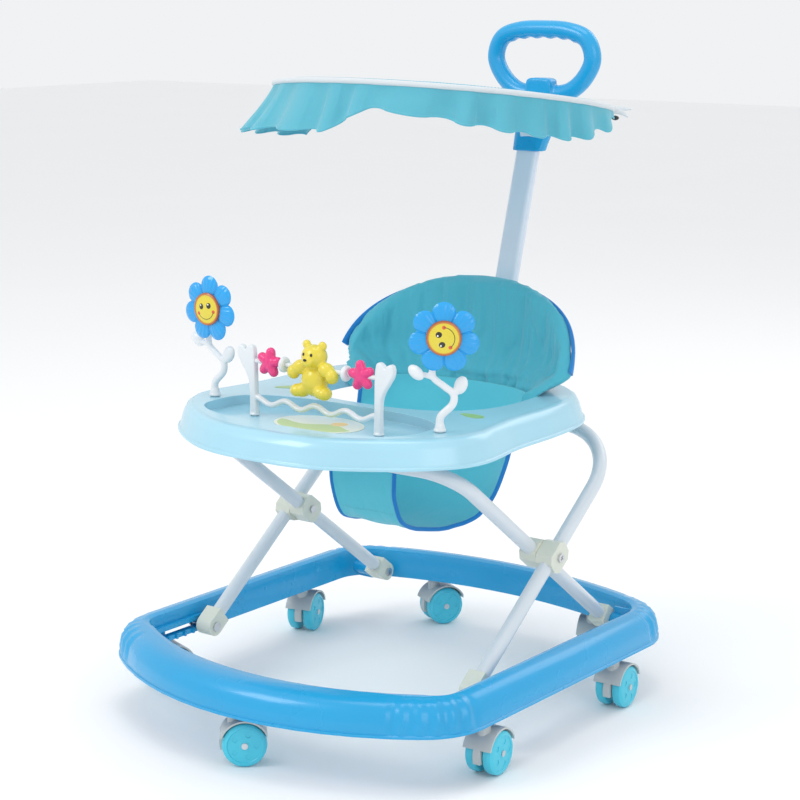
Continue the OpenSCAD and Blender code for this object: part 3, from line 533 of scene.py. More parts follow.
def curve(points: Sequence[Point], steps: int, loop: bool = False) -> list[Vector]:
    """Smooth curve through points, with even steps between each pair."""
    knots = [Vector(p) for p in points]
    count = len(knots)
    pick = (lambda k: knots[k % count]) if loop else (lambda k: knots[min(max(k, 0), count - 1)])
    out = []
    for i in range(count if loop else count - 1):
        a, b, c, d = pick(i - 1), pick(i), pick(i + 1), pick(i + 2)
        for s in range(steps):
            t = s / steps
            out.append(0.5 * (2 * b + (c - a) * t + (2 * a - 5 * b + 4 * c - d) * t * t
                              + (3 * b - a - 3 * c + d) * t ** 3))
    return out if loop else out + [knots[-1]]


def tube(path: Sequence[Vector], radius: Callable[[float], tuple[float, float]], sides: int = 16,
         loop: bool = False, side: Vector = Vector((0, 1, 0))) -> tuple[list[Point], list[list[int]]]:
    """Sweeps an oval along a path.

    Args:
        path: middle line.
        radius: half widths across and along `side`, for a share of the length.
        sides: points round the oval.
        loop: joins the ends.
        side: direction kept as the oval's second axis.

    Returns:
        Points and faces.
    """
    rings, count = [], len(path)
    for i, point in enumerate(path):
        ahead = path[(i + 1) % count] if loop else path[min(i + 1, count - 1)]
        behind = path[i - 1] if loop else path[max(i - 1, 0)]
        run = (ahead - behind).normalized()
        up = (side - run * side.dot(run)).normalized()
        out = up.cross(run)
        wide, tall = radius(i / (count - 1))
        rings.append([tuple(point + out * wide * math.cos(a) + up * tall * math.sin(a))
                      for a in (math.tau * k / sides for k in range(sides))])
    return skin(rings, loop)


def ball(middle: Point, half: Point, turn: float = 0.0, detail: int = 3) -> tuple[list[Point], list[list[int]]]:
    """An ellipsoid.

    Args:
        middle: its centre.
        half: its half sizes.
        turn: degrees about the Y axis.
        detail: icosphere subdivisions.

    Returns:
        Points and faces.
    """
    work = bmesh.new()
    bmesh.ops.create_icosphere(work, subdivisions=detail, radius=1.0)
    spin = Matrix.Rotation(math.radians(turn), 3, "Y")
    work.verts.index_update()
    verts = [tuple(Vector(middle) + spin @ Vector([c * h for c, h in zip(v.co, half)])) for v in work.verts]
    faces = [[v.index for v in f.verts] for f in work.faces]
    work.free()
    return verts, faces


def gather(parts: Iterable[tuple[list[Point], list[list[int]]]]) -> tuple[list[Point], list[list[int]]]:
    """Puts several shapes in one list of points and faces."""
    verts, faces = [], []
    for points, polygons in parts:
        faces += [[k + len(verts) for k in polygon] for polygon in polygons]
        verts += points
    return verts, faces


def fuse(piece: bpy.types.Object, voxel: float, rounds: int = 6) -> bpy.types.Object:
    """Melts overlapping shapes into one moulded skin.

    Args:
        piece: the overlapping shapes.
        voxel: remesh size in millimetres.
        rounds: smoothing passes.

    Returns:
        The same object.
    """
    modify(piece, "REMESH", mode="VOXEL", voxel_size=voxel * MM)
    modify(piece, "SMOOTH", factor=0.5, iterations=rounds)
    return settle(piece, 80)


@dataclass
class Stitches:
    """Running stitches along a seam, scattered by Geometry Nodes."""

    name: str
    path: Sequence[Vector]
    gap: float = 4.2
    size: Point = (2.6, 0.55, 0.55)

    def group(self, thread: bpy.types.Material) -> bpy.types.NodeTree:
        """Builds the tree: resampled seam, one stitch at each point, realized."""
        tree = bpy.data.node_groups.new(self.name, "GeometryNodeTree")
        face = tree.interface
        face.new_socket("Seam", in_out="INPUT", socket_type="NodeSocketGeometry")
        length, width, _ = self.size
        for label, value in (("Gap", self.gap * MM), ("Length", length * MM), ("Width", width * MM)):
            face.new_socket(label, in_out="INPUT", socket_type="NodeSocketFloat").default_value = value
        face.new_socket("Stitches", in_out="OUTPUT", socket_type="NodeSocketGeometry")

        def add(kind: str) -> bpy.types.Node:
            """Adds one node."""
            return tree.nodes.new(kind)

        ends, out = add("NodeGroupInput"), add("NodeGroupOutput")
        seam, steps = add("GeometryNodeMeshToCurve"), add("GeometryNodeResampleCurve")
        steps.mode = "LENGTH"
        points, align = add("GeometryNodeInstanceOnPoints"), add("FunctionNodeAlignRotationToVector")
        tangent, stitch = add("GeometryNodeInputTangent"), add("GeometryNodeMeshUVSphere")
        stitch.inputs["Segments"].default_value, stitch.inputs["Rings"].default_value = 6, 5
        stitch.inputs["Radius"].default_value = 0.5
        align.axis = "X"
        scale, real, paint = add("ShaderNodeCombineXYZ"), add("GeometryNodeRealizeInstances"), add(
            "GeometryNodeSetMaterial")
        paint.inputs["Material"].default_value = thread
        for start, end in (
            (ends.outputs["Seam"], seam.inputs["Mesh"]), (seam.outputs[0], steps.inputs["Curve"]),
            (ends.outputs["Gap"], steps.inputs["Length"]), (steps.outputs[0], points.inputs["Points"]),
            (tangent.outputs[0], align.inputs["Vector"]), (align.outputs[0], points.inputs["Rotation"]),
            (stitch.outputs["Mesh"], points.inputs["Instance"]), (ends.outputs["Length"], scale.inputs[0]),
            (ends.outputs["Width"], scale.inputs[1]), (ends.outputs["Width"], scale.inputs[2]),
            (scale.outputs[0], points.inputs["Scale"]), (points.outputs[0], real.inputs[0]),
            (real.outputs[0], paint.inputs[0]), (paint.outputs[0], out.inputs[0]),
        ):
            tree.links.new(start, end)
        return tree

    def build(self, thread: bpy.types.Material) -> bpy.types.Object:
        """Makes the stitches as a plain mesh.

        Args:
            thread: the thread's material.

        Returns:
            The object.
        """
        mesh = bpy.data.meshes.new(self.name)
        links = [(k, k + 1) for k in range(len(self.path) - 1)]
        mesh.from_pydata([Frame.place(*p) for p in self.path], links, [])
        piece = link(self.name, mesh)
        modifier = piece.modifiers.new("Stitches", "NODES")
        modifier.node_group = self.group(thread)
        sockets = {item.name: item.identifier for item in modifier.node_group.interface.items_tree
                   if item.in_out == "INPUT"}
        modifier[sockets["Gap"]] = self.gap * MM
        return bake(piece)


class Palette:
    """Finishes made once and shared by the pieces."""

    def __init__(self) -> None:
        """Starts with no material."""
        self.made: dict[str, bpy.types.Material] = {}

    def get(self, finish: Plastic | Enamel | Steel | Cloth | Face | Print) -> bpy.types.Material:
        """The material of a finish."""
        if finish.name not in self.made:
            self.made[finish.name] = finish.make()
        return self.made[finish.name]


@dataclass
class Assembly:
    """A group of pieces: it dresses them, sets them on their bodies and reports them."""

    palette: Palette

    def fit(self, piece: bpy.types.Object, body: Body | str, finish: object, slot: str,
            replaces: Sequence[str] = ()) -> bpy.types.Object:
        """Finishes a piece.

        Args:
            piece: the object.
            body: the CAD body that it rides on.
            finish: its finish.
            slot: its material slot; not used.
            replaces: CAD nodes that it stands for.

        Returns:
            The same object.
        """
        if finish is not None:
            piece.data.materials.clear()
            piece.data.materials.append(self.palette.get(finish))
        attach(piece, body.value if isinstance(body, Body) else body)
        if replaces:
            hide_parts(*replaces)
        LOG.info("%s: %d faces", piece.name, len(piece.data.polygons))
        return piece

    def dress(self, node: str, finish: object) -> None:
        """Gives a carried-over CAD node its finish."""
        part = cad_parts[node]
        part.data.materials.clear()
        part.data.materials.append(self.palette.get(finish))
        LOG.info("%s: dressed as %s", node, finish.name)

    def refine(self, node: str, body: Body | str, finish: object, slot: str, round_edge: float = 0.0,
               angle: float = 35.0) -> bpy.types.Object:
        """A moulded piece on a CAD node's own shape, with its edges rounded.

        Args:
            node: the CAD node.
            body: its body.
            finish: its finish.
            slot: its material slot.
            round_edge: edge radius in millimetres.
            angle: edges sharper than this many degrees are rounded.

        Returns:
            The new piece.
        """
        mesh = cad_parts[node].data.copy()
        piece = link(node + "_moulded", mesh)
        work = bmesh.new()
        work.from_mesh(mesh)
        bmesh.ops.remove_doubles(work, verts=work.verts, dist=2e-6)
        bmesh.ops.dissolve_limit(work, angle_limit=math.radians(0.6), verts=work.verts, edges=work.edges)
        for face in work.faces:
            face.smooth = True
        for edge in work.edges:
            edge.smooth = not (edge.is_manifold and edge.calc_face_angle(0) > math.radians(angle))
        work.to_mesh(mesh)
        work.free()
        for name in [a.name for a in mesh.attributes if a.name == "custom_normal"]:
            mesh.attributes.remove(mesh.attributes[name])
        if round_edge:
            modify(piece, "BEVEL", width=round_edge * MM, segments=2, limit_method="ANGLE",
                   angle_limit=math.radians(angle), harden_normals=False, use_clamp_overlap=True)
            for polygon in piece.data.polygons:
                polygon.use_smooth = True
            modify(piece, "WEIGHTED_NORMAL", keep_sharp=True)
        return self.fit(piece, body, finish, slot, [node])


# ---- base, legs and tray --------------------------------------------------


@dataclass
class RingBase(Assembly):
    """Fluted base ring with its seven twin-wheel casters."""

    casters: int = 7
    knock_r: float = 3.4
    knock_gap: float = 58.0

    def build(self) -> None:
        """Dresses the moulded ring, then each caster."""
        self.refine("base_ring", Body.BASE, AZURE, "azure_plastic")
        self.dress("caster_stems", ZINC)
        self.dress("rear_foot_screws", ZINC)
        self.fit(self.knock_marks(), Body.BASE, AZURE, "azure_plastic")
        for number in range(1, self.casters + 1):
            self.refine(f"caster_fork_{number}", f"caster_swivel_{number}", HOUSING, "caster_housing", 1.0)
            self.refine(f"caster_wheels_{number}", f"caster_roll_{number}", WHEEL, "wheel_plastic", 0.5)
            self.dress(f"caster_axle_{number}", ZINC)

    def knock_marks(self) -> bpy.types.Object:
        """Round ejector marks that stand a hair proud of the straight inner walls."""
        parts = []
        for side in (-1, 1):
            for k in range(4):
                at = (side * 245.2, -20 + k * self.knock_gap, 90 + 6 * (k % 2))
                parts.append(ball(at, (0.7, self.knock_r, self.knock_r), detail=2))
        return finish_mesh("ejector_marks", *gather(parts))


@dataclass
class Legs(Assembly):
    """Crossed tube frames with their moulded feet, clamps, pins and screws."""

    def build(self) -> None:
        """Dresses both frames."""
        for side, body in (("outer", Body.OUTER), ("inner", Body.INNER)):
            self.refine(f"{side}_leg_frame", body, TUBE, "leg_paint")
            self.refine(f"{side}_leg_blocks", body, CREAM, "cream_plastic", 1.6)
        for node in ("sliding_foot_pins", "crossing_screws"):
            self.dress(node, ZINC)


@dataclass
class PlayTray(Assembly):
    """Moulded tray with its clips, latch, sticker and leaf decals."""

    top: float = 410.0
    sticker_half: tuple[float, float] = (64.0, 44.0)
    leaf: tuple[float, float] = (19.0, 8.5)
    leaves: tuple[Point, ...] = ((158, -29, -9), (-144, -26, 37))

    def build(self) -> None:
        """Makes the tray's pieces."""
        self.refine("tray", Body.TRAY, SKY, "sky_plastic", 2.0, 50.0)
        self.refine("tray_clips", Body.TRAY, SKY, "sky_plastic", 1.2)
        self.refine("tray_latch", Body.TRAY, BLACK, "black_plastic", 1.5)
        low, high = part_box("tray_sticker")
        middle = tuple((low + high) / 2)
        self.dress("tray_sticker", Print("tray_print", middle, tuple(s * MM for s in self.sticker_half)))
        self.fit(self.decals(), Body.TRAY, LEAF, "printed_label")

    def decals(self) -> bpy.types.Object:
        """Two thin leaf decals on the rim."""
        parts = []
        for x, y, turn in self.leaves:
            a = math.radians(turn)
            rim = [(self.leaf[0] * math.cos(t), self.leaf[1] * math.sin(t) * (1 + 0.35 * math.cos(t)))
                   for t in (math.tau * k / 28 for k in range(28))]
            c, s = math.cos(a), math.sin(a)
            parts.append(skin([[(x + u * c - v * s, y + u * s + v * c, z) for u, v in rim]
                               for z in (self.top + 0.02, self.top + 0.35)]))
        return finish_mesh("leaf_decals", *gather(parts))


# ---- seat -----------------------------------------------------------------


@dataclass
class Seat(Assembly):
    """Padded back that spreads over the tray, and the sling hanging under it."""

    opening: tuple[float, float] = (158.0, 132.0)
    opening_y: float = 82.0
    wing: tuple[float, float] = (190.0, 95.0)
    wing_y: float = 140.0
    wing_top: float = 424.0
    crown: float = 549.0
    tray_top: float = 410.0
    pad: float = 12.0
    first: float = 7.0
    tuck: float = 9.0
    wall_foot: float = 340.0
    line: tuple[tuple[float, float, float, float], ...] = (
        (-45, 386, 54, 0), (-50, 322, 52, 0), (-46, 284, 50, 0), (-30, 253, 50, 0), (8, 238, 50, 0),
        (62, 230, 60, 4), (112, 241, 80, 20), (150, 268, 99, 46), (178, 306, 114, 70), (192, 346, 127, 86),
        (199, 402, 139, 95))

    def build(self) -> None:
        """Makes the back, its binding and stitches, then the sling."""
        back = self.back()
        self.fit(back, Body.TRAY, SEAT_WRAP, "seat_fabric", ["seat_back"])
        edge = self.edge_path(7.0, -0.4)
        binding = finish_mesh("seat_piping", *tube(edge, lambda t: (2.6, 6.4), 14, side=Vector((0, 0, 1))))
        self.fit(binding, Body.TRAY, BINDING, "seat_fabric")
        for name, inset in (("seat_stitches", -3.1),):
            path = self.edge_path(7.0, inset)[6:-6]
            self.fit(Stitches(name, path).build(self.palette.get(THREAD)), Body.TRAY, None, "seat_fabric")
        self.sling()

    def opening_point(self, a: float, grow: float) -> Vector:
        """Plan point of the seat opening at angle a, moved outwards."""
        power = 2 / 2.6
        c, s = math.cos(a), math.sin(a)
        return Vector(((self.opening[0] + grow) * math.copysign(abs(c) ** power, c),
                       self.opening_y + (self.opening[1] + grow) * math.copysign(abs(s) ** power, s), 0))

    def profile(self, a: float) -> tuple[list[Vector], Vector]:
        """Outer profile of the back at angle a, from its foot to its crown, and the outward direction."""
        c, s = math.cos(a), math.sin(a)
        out = Vector((c, s, 0))
        foot = self.opening_point(a, -3.5)
        wing = Vector((self.wing[0] * c, self.wing_y + self.wing[1] * s, 0))
        top = self.wing_top + (self.crown - self.wing_top) * max(s, 0) ** 0.8
        spread = wing - foot
        knots = [foot + Vector((0, 0, 388)), foot + Vector((0, 0, self.tray_top - 3)),
                 foot + spread * 0.30 + Vector((0, 0, self.tray_top + 5)),
                 foot + spread * 0.82 + Vector((0, 0, self.tray_top + 18)),
                 wing + Vector((0, 0, self.tray_top + 20 + 0.20 * (top - self.tray_top - 15))),
                 wing + Vector((0, 0, self.tray_top + 20 + 0.55 * (top - self.tray_top - 20))),
                 wing + Vector((0, 0, top - 5))]
        return curve([tuple(k) for k in knots], 3), out

    def edge_path(self, below: float, inset: float) -> list[Vector]:
        """Line along the back's free edge.

        Args:
            below: how far under the edge.
            inset: how far in from the outer face.

        Returns:
            Points from the left foot over the crown to the right foot.
        """
        count = 90
        path = []
        for k in range(count + 1):
            a = math.radians(180 - self.first - (180 - 2 * self.first) * k / count)
            line, out = self.profile(a)
            path.append(line[-1] - out * inset + Vector((0, 0, 4.0 - below - self.tuck * math.sin(a) ** 2)))
        return path

    def back(self) -> bpy.types.Object:
        """The pad: a closed shell, swollen by cloth pressure, then creased."""
        rings, count = [], 84
        for k in range(count + 1):
            a = math.radians(self.first + (180 - 2 * self.first) * k / count)
            line, out = self.profile(a)
            roll = 7.0 * max(0.0, 1 - math.sin(a) / 0.75) ** 0.7
            belly = [math.sin(math.pi * (i + 0.6) / (len(line) + 1)) ** 0.8 for i in range(len(line))]
            inner = [p - out * (self.pad + (1.5 + roll) * full) + Vector((0, 0, 1.5))
                     for p, full in zip(line, belly)]
            crown = (line[-1] + inner[-1]) / 2 + Vector((0, 0, 4.5 + 0.15 * roll))
            rings.append([tuple(p) for p in [*line, crown, *reversed(inner)]])
        verts, faces = skin(rings)
        piece = finish_mesh("seat_back_pad", verts, faces)
        modify(piece, "REMESH", mode="VOXEL", voxel_size=4.5 * MM)
        self.swell(piece)
        self.crease(piece)
        modify(piece, "SUBSURF", levels=1, render_levels=1)
        self.wrap(piece)
        return settle(piece, 80)

    def swell(self, piece: bpy.types.Object, cap: float = 6.0) -> None:
        """Inflates the pad with a cloth simulation and caps how far any point moves.

        Args:
            piece: the remeshed pad.
            cap: largest move, in millimetres.
        """
        rest = [v.co.copy() for v in piece.data.vertices]
        pins = piece.vertex_groups.new(name="seams")
        held = [v.index for v in piece.data.vertices if v.co.z < (self.tray_top - 10) * MM]
        pins.add(held, 1.0, "REPLACE")
        cloth = piece.modifiers.new("Cloth", "CLOTH")
        cloth.settings.use_pressure = True
        cloth.settings.uniform_pressure_force = 4.0
        cloth.settings.vertex_group_mass = pins.name
        cloth.settings.effector_weights.gravity = 0.0
        scene = bpy.context.scene
        for number in range(1, 15):
            scene.frame_set(number)
        bake(piece)
        scene.frame_set(1)
        for vertex, start in zip(piece.data.vertices, rest):
            move = vertex.co - start
            if move.length > cap * MM:
                vertex.co = start + move.normalized() * cap * MM

    def crease(self, piece: bpy.types.Object) -> None:
        """Presses soft vertical folds, tufts and the line where the pad bends over the tray."""
        mesh = piece.data
        normals = [v.normal.copy() for v in mesh.vertices]
        for vertex, normal in zip(mesh.vertices, normals):
            x, y, z = vertex.co.x / MM, (vertex.co.y - Frame.middle_y) / MM, vertex.co.z / MM
            a = math.atan2(y - 110, x)
            upright = 1 - abs(normal.z)
            line = self.tray_top + 3 * math.sin(3 * a)
            near = math.exp(-abs(z - line) / 34.0)
            folds = noise.noise(Vector((a * 4.6, z * 0.006, 1.7))) * 4.2
            fine = noise.noise(Vector((a * 15.0, z * 0.012, 4.1))) * (1.4 + 3.6 * near)
            fold = noise.noise(Vector((a * 7.5, z * 0.010, 6.6)))
            pucker = -8.0 * math.exp(-(fold / 0.14) ** 2) * (0.3 + 0.7 * near)
            bend = -4.5 * math.exp(-((z - line) / 4.5) ** 2) + 2.5 * math.exp(-((z - line - 13) / 8.0) ** 2)
            vertex.co += normal * (folds + fine + pucker + bend) * upright * MM

    def wrap(self, piece: bpy.types.Object) -> None:
        """Lays a UV map round the pad in real millimetres, so that the weave has its true size."""
        mesh = piece.data
        layer = mesh.uv_layers.new(name="UVMap")
        for loop in mesh.loops:
            p = mesh.vertices[loop.vertex_index].co
            x, y = p.x, p.y - Frame.middle_y - 0.110
            layer.data[loop.index].uv = (math.atan2(y, x) * 0.165, p.z + math.hypot(x, y))

    def sling(self) -> None:
        """The hanging sling with bound edges, a seam and two snaps."""
        line = curve([(y, z, w) for y, z, w, _ in self.line], 6)
        back = curve([(b, 0, 0) for *_, b in self.line], 6)
        half, verts, faces, uv = 14, [], [], []
        run = 0.0
        for i, (p, b) in enumerate(zip(line, back)):
            run += (Vector((p.x, p.y)) - Vector((line[i - 1].x, line[i - 1].y))).length if i else 0
            for k in range(-half, half + 1):
                u = k / half
                sag = 2.2 * noise.noise(Vector((u * 2.1, run * 0.022, 0.3))) + noise.noise(
                    Vector((u * 6.0, run * 0.05, 2.3)))
                hung = Vector((p.z * u, p.x - b.x * u * u + sag * 0.6, p.y + sag))
                rise = max(0.0, min(1.0, (p.y - self.wall_foot) / 50)) if p.x > self.opening_y else 0.0
                wall = self.opening_point(math.radians(90 - 76 * u), -18.5) + Vector((0, 0, p.y))
                verts.append(tuple(hung.lerp(wall, rise * rise * (3 - 2 * rise))))
                uv.append((p.z * u, run))
        across = 2 * half + 1
        for i in range(len(line) - 1):
            for k in range(across - 1):
                a = i * across + k
                faces.append((a, a + across, a + across + 1, a + 1))
        cloth = finish_mesh("seat_sling_cloth", verts, faces, lambda v: uv[v])
        area = sum(f.area for f in cloth.data.polygons)
        modify(cloth, "SOLIDIFY", thickness=2.4 * MM, offset=0.0)
        settle(cloth, 60)
        self.fit(cloth, Body.TRAY, SLING, "seat_fabric", ["seat_sling"])
        edges = [[Vector(verts[i * across + k]) for i in range(len(line))] for k in (0, across - 1)]
        side = Vector((1, 0, 0))
        cords = (tube(edge, lambda t: (2.9, 2.9), 12, side=side) for edge in edges)
        piping = finish_mesh("sling_piping", *gather(cords))
        self.fit(piping, Body.TRAY, BINDING, "seat_fabric")
        seam = [Vector(verts[15 * across + k]) + Vector((0, -1.6, -1.0)) for k in range(2, across - 2)]
        stitches = Stitches("sling_stitches", seam).build(self.palette.get(THREAD))
        self.fit(stitches, Body.TRAY, None, "seat_fabric")
        snaps = gather(ball((x, -51.6, 330), (3.4, 1.4, 3.4), detail=2) for x in (-16, 16))
        dots = finish_mesh("sling_snaps", *snaps)
        self.fit(dots, Body.TRAY, BLACK, "black_plastic")
        rows = [[Vector(v) for v in verts[i * across:(i + 1) * across]] for i in range(len(line))]
        widest = max(sum((q - p).length for p, q in zip(row, row[1:])) for row in rows)
        run * MM
        min(area, widest * run * MM * MM)


# ---- toys -----------------------------------------------------------------


@dataclass
class Toys(Assembly):
    """Toy bar with a bear and two stars, and two flowers on bendy stalks."""

    bar_y: float = -145.0
    floor: float = 397.0
    rod_z: float = 469.0
    post_x: float = 100.5
    star_x: float = 74.0
    stalk: tuple[float, float] = (182.0, -130.0)
    lift: float = 118.0
    turn: float = 34.0
    outline: tuple[tuple[float, float], ...] = (
        (-5, 0), (5, 0), (5.2, 24), (6.0, 42), (10, 54), (18, 66), (24, 76), (25, 86), (21, 91), (15, 89),
        (12, 85), (9, 89), (3, 92), (-2, 88), (-4, 70), (-4.6, 44), (-4.8, 22))

    def build(self) -> None:
        """Makes every toy."""
        self.fit(self.bar(), Body.TRAY, WHITE, "white_plastic", ["toy_bar"])
        self.dress("toy_rod", WHITE)
        self.refine("toy_beads", Body.TRAY, WHITE, "white_plastic", 0.6)
        self.bear()
        for side, name in ((-1, "left"), (1, "right")):
            self.fit(self.star(side, name), f"star_{name}", PINK, "pink_plastic", [f"toy_star_{name}"])
            self.stalk_and_flower(side, name)

    def bar(self) -> bpy.types.Object:
        """Two flat branching posts joined by a wavy bar."""
        parts = []
        for side in (-1, 1):
            rim = curve([(x, z, 0) for x, z in self.outline], 3, loop=True)
            rings = []
            for depth, inset in ((-4.5, 1.5), (-3.6, 0.4), (-2.4, 0), (2.4, 0), (3.6, 0.4), (4.5, 1.5)):
                middle = Vector((sum(p.x for p in rim) / len(rim), 50, 0))
                ring = []
                for i, p in enumerate(rim):
                    run = (rim[(i + 1) % len(rim)] - rim[i - 1]).normalized()
                    ring.append((side * (self.post_x + p.x - run.y * inset), self.bar_y + depth,
                                 self.floor + 0.1 + max(0.0, p.y + run.x * inset)))
                rings.append(ring)
            verts = [p for ring in rings for p in ring]
            size = len(rim)
            faces = [[low + j, low + (j + 1) % size, low + size + (j + 1) % size, low + size + j]
                     for low in range(0, 5 * size, size) for j in range(size)]
            faces += [list(range(size)), [5 * size + j for j in range(size)]]
            parts.append((verts, faces))
            parts.append(ball((side * self.post_x, self.bar_y, self.floor + 2.2), (7, 7, 2.2)))
        reach, steps = self.post_x - 3, 24
        wave = [Vector((k * reach / steps, self.bar_y, self.floor + 21 + 4 * math.cos(k * math.tau / 12)))
                for k in range(-steps, steps + 1)]
        parts.append(tube(wave, lambda t: (3.6, 4.2), 14))
        return fuse(finish_mesh("toy_bar_moulded", *gather(parts)), 1.0, 3)

    def bear(self) -> None:
        """Round moulded bear with ears, snout, arms and legs."""
        y, z = self.bar_y, self.rod_z
        parts = [ball((0, y, z - 15), (18.5, 16, 20)), ball((0, y - 1, z + 16), (17.5, 15.5, 15.5)),
                 ball((0, y - 15, z + 11), (8.5, 5, 6.5))]
        for s in (-1, 1):
            parts += [ball((s * 12.5, y, z + 30), (6.2, 4.5, 6.2)),
                      ball((s * 21, y - 3, z + 1), (13, 9.5, 9.5), s * 25),
                      ball((s * 31, y - 4, z - 6), (8.5, 9, 9.5)),
                      ball((s * 15, y - 5, z - 27), (11.5, 12, 9.5), s * 20),
                      ball((s * 22, y - 8, z - 28), (9, 10, 8.5))]
        self.fit(fuse(finish_mesh("bear_moulded", *gather(parts)), 1.1, 5), "bear", YELLOW, "yellow_plastic",
                 ["toy_bear"])
        eyes = gather([ball((s * 6, y - 14.6, z + 20), (1.9, 1.3, 2.3), detail=2) for s in (-1, 1)]
                      + [ball((0, y - 20.0, z + 14), (2.7, 1.4, 1.9), detail=2)])
        self.fit(finish_mesh("bear_eyes", *eyes), "bear", BLACK, "black_plastic")

    def star(self, side: int, name: str) -> bpy.types.Object:
        """Fat five-armed star."""
        x, parts = side * self.star_x, [ball((side * self.star_x, self.bar_y, self.rod_z), (12, 7.2, 12))]
        for k in range(5):
            a = math.radians(90 + 72 * k + 8 * side)
            for reach, r in ((6, 7.4), (10.5, 7.0), (13.6, 6.4)):
                at = (x + reach * math.cos(a), self.bar_y, self.rod_z + reach * math.sin(a))
                parts.append(ball(at, (r, r, r), detail=2))
        return fuse(finish_mesh(f"star_{name}_moulded", *gather(parts)), 0.9, 3)

    def stalk_and_flower(self, side: int, name: str) -> None:
        """One stalk with two leaves, its flower and the flower's printed face."""
        turn = math.radians(self.turn if side > 0 else 0)
        c, s = math.cos(turn), math.sin(turn)

        def at(x: float, y: float, z: float) -> Point:
            """A point of the stalk's own frame."""
            return (side * self.stalk[0] + x * c - y * s, self.stalk[1] + x * s + y * c, 410 + z)

        forward = Vector((-s * -1, -c, 0))
        across = Vector((c, s, 0))
        stem = curve([at(0, 0, 3), at(1, 0, 19), at(15, 0, 34), at(16, 0, 47), at(4, 0, 57), at(-9, 0, 69),
                      at(-6, 0, 90), at(3, 0, 108), at(5, 0, 118)], 6)
        side_axis = Vector((-s, c, 0))
        leaf_r = curve([at(15, 0, 45), at(20, 0, 51), at(25, 0, 58)], 5)
        leaf_l = curve([at(-8, 0, 67), at(-18, 0, 70), at(-28, 0, 73)], 5)
        parts = [tube(stem, lambda t: (5.2 - 1.6 * t, 4.6 - 1.2 * t), 14, side=side_axis),
                 tube(leaf_r, lambda t: (3.6 - 0.5 * t, 3.4), 12, side=side_axis),
                 tube(leaf_l, lambda t: (3.6 - 0.5 * t, 3.4), 12, side=side_axis),
                 ball(at(25, 0, 58), (8.8, 5.2, 12.5), 30), ball(at(-29, 0, 73), (8.2, 5.2, 12.5), -62),
                 ball(at(0, 0, 2.5), (8, 8, 3.2)),
                 tube([Vector(at(0, 0, 0.5)), Vector(at(0, 0, 6)), Vector(at(0, 0, 10))],
                      lambda t: (7.4 - 2 * t, 7.4 - 2 * t), 20),
                 tube([Vector(at(5, 6, 118)), Vector(at(5, -8, 118))], lambda t: (8.5, 8.5), 24,
                      side=Vector((0, 0, 1)))]
        self.fit(fuse(finish_mesh(f"stalk_{name}_moulded", *gather(parts)), 1.1, 4), Body.TRAY, WHITE,
                 "white_plastic", [f"flower_stalk_{name}"])
        body = f"{name}_flower"
        middle = Vector(at(5, -9, self.lift))
        self.fit(self.flower(name, middle, across, forward), body, BLOOM, "azure_plastic", [f"flower_{name}"])
        spin = math.radians(-8 if side < 0 else -108)
        upward = Vector((0, 0, 1)) * math.cos(spin) + across * math.sin(spin)
        sideways = across * math.cos(spin) - Vector((0, 0, 1)) * math.sin(spin)
        center = middle + forward * 9
        placed = tuple(Frame.place(*center))
        finish = Face(f"flower_print_{name}", placed, tuple(sideways), tuple(upward), 21 * MM)
        rings = [[tuple(middle + forward * d + across * (r * math.cos(t)) + Vector((0, 0, r * math.sin(t))))
                  for t in (math.tau * k / 64 for k in range(64))]
                 for d, r in ((6, 20.5), (8.6, 21.4), (10.6, 20.9), (11.2, 19.6),
                              (10.6, 18.3), (11.4, 15), (12.6, 8), (12.9, 2))]
        self.fit(finish_mesh(f"flower_face_{name}_moulded", *skin(rings)), body, finish, "orange_plastic",
                 [f"flower_face_{name}"])

    def flower(self, name: str, middle: Vector, across: Vector, forward: Vector) -> bpy.types.Object:
        """Seven ribbed petals.

        Args:
            name: which side.
            middle: the flower's centre at its back.
            across: its own sideways direction.
            forward: the way it faces.

        Returns:
            The piece.
        """
        turns, reach, up = 210, 14, Vector((0, 0, 1))
        rings = []
        for layer in range(2):
            for j in range(reach):
                share = (j + 0.4) / (reach - 0.6) if layer == 0 else 1 - (j + 0.4) / (reach - 0.6)
                ring = []
                for k in range(turns):
                    a = math.tau * k / turns
                    lobe = abs(math.cos(3.5 * (a - math.pi / 2))) ** 0.55
                    edge = 31 + 12 * lobe
                    r = edge * share
                    swell = (1 - share ** 3.2) ** 0.5
                    rib = 0.75 * math.cos(35 * (a - math.pi / 2)) * max(0.0, share - 0.45) * swell * 1.8
                    height = 3.6 + 5.2 * swell * (0.45 + 0.55 * lobe) + rib if layer == 0 else 3.4 - 3.4 * swell
                    point = middle + across * (r * math.cos(a)) + up * (r * math.sin(a)) + forward * height
                    ring.append(tuple(point))
                rings.append(ring)
        return finish_mesh(f"flower_{name}_moulded", *skin(rings))


# ---- push handle ----------------------------------------------------------


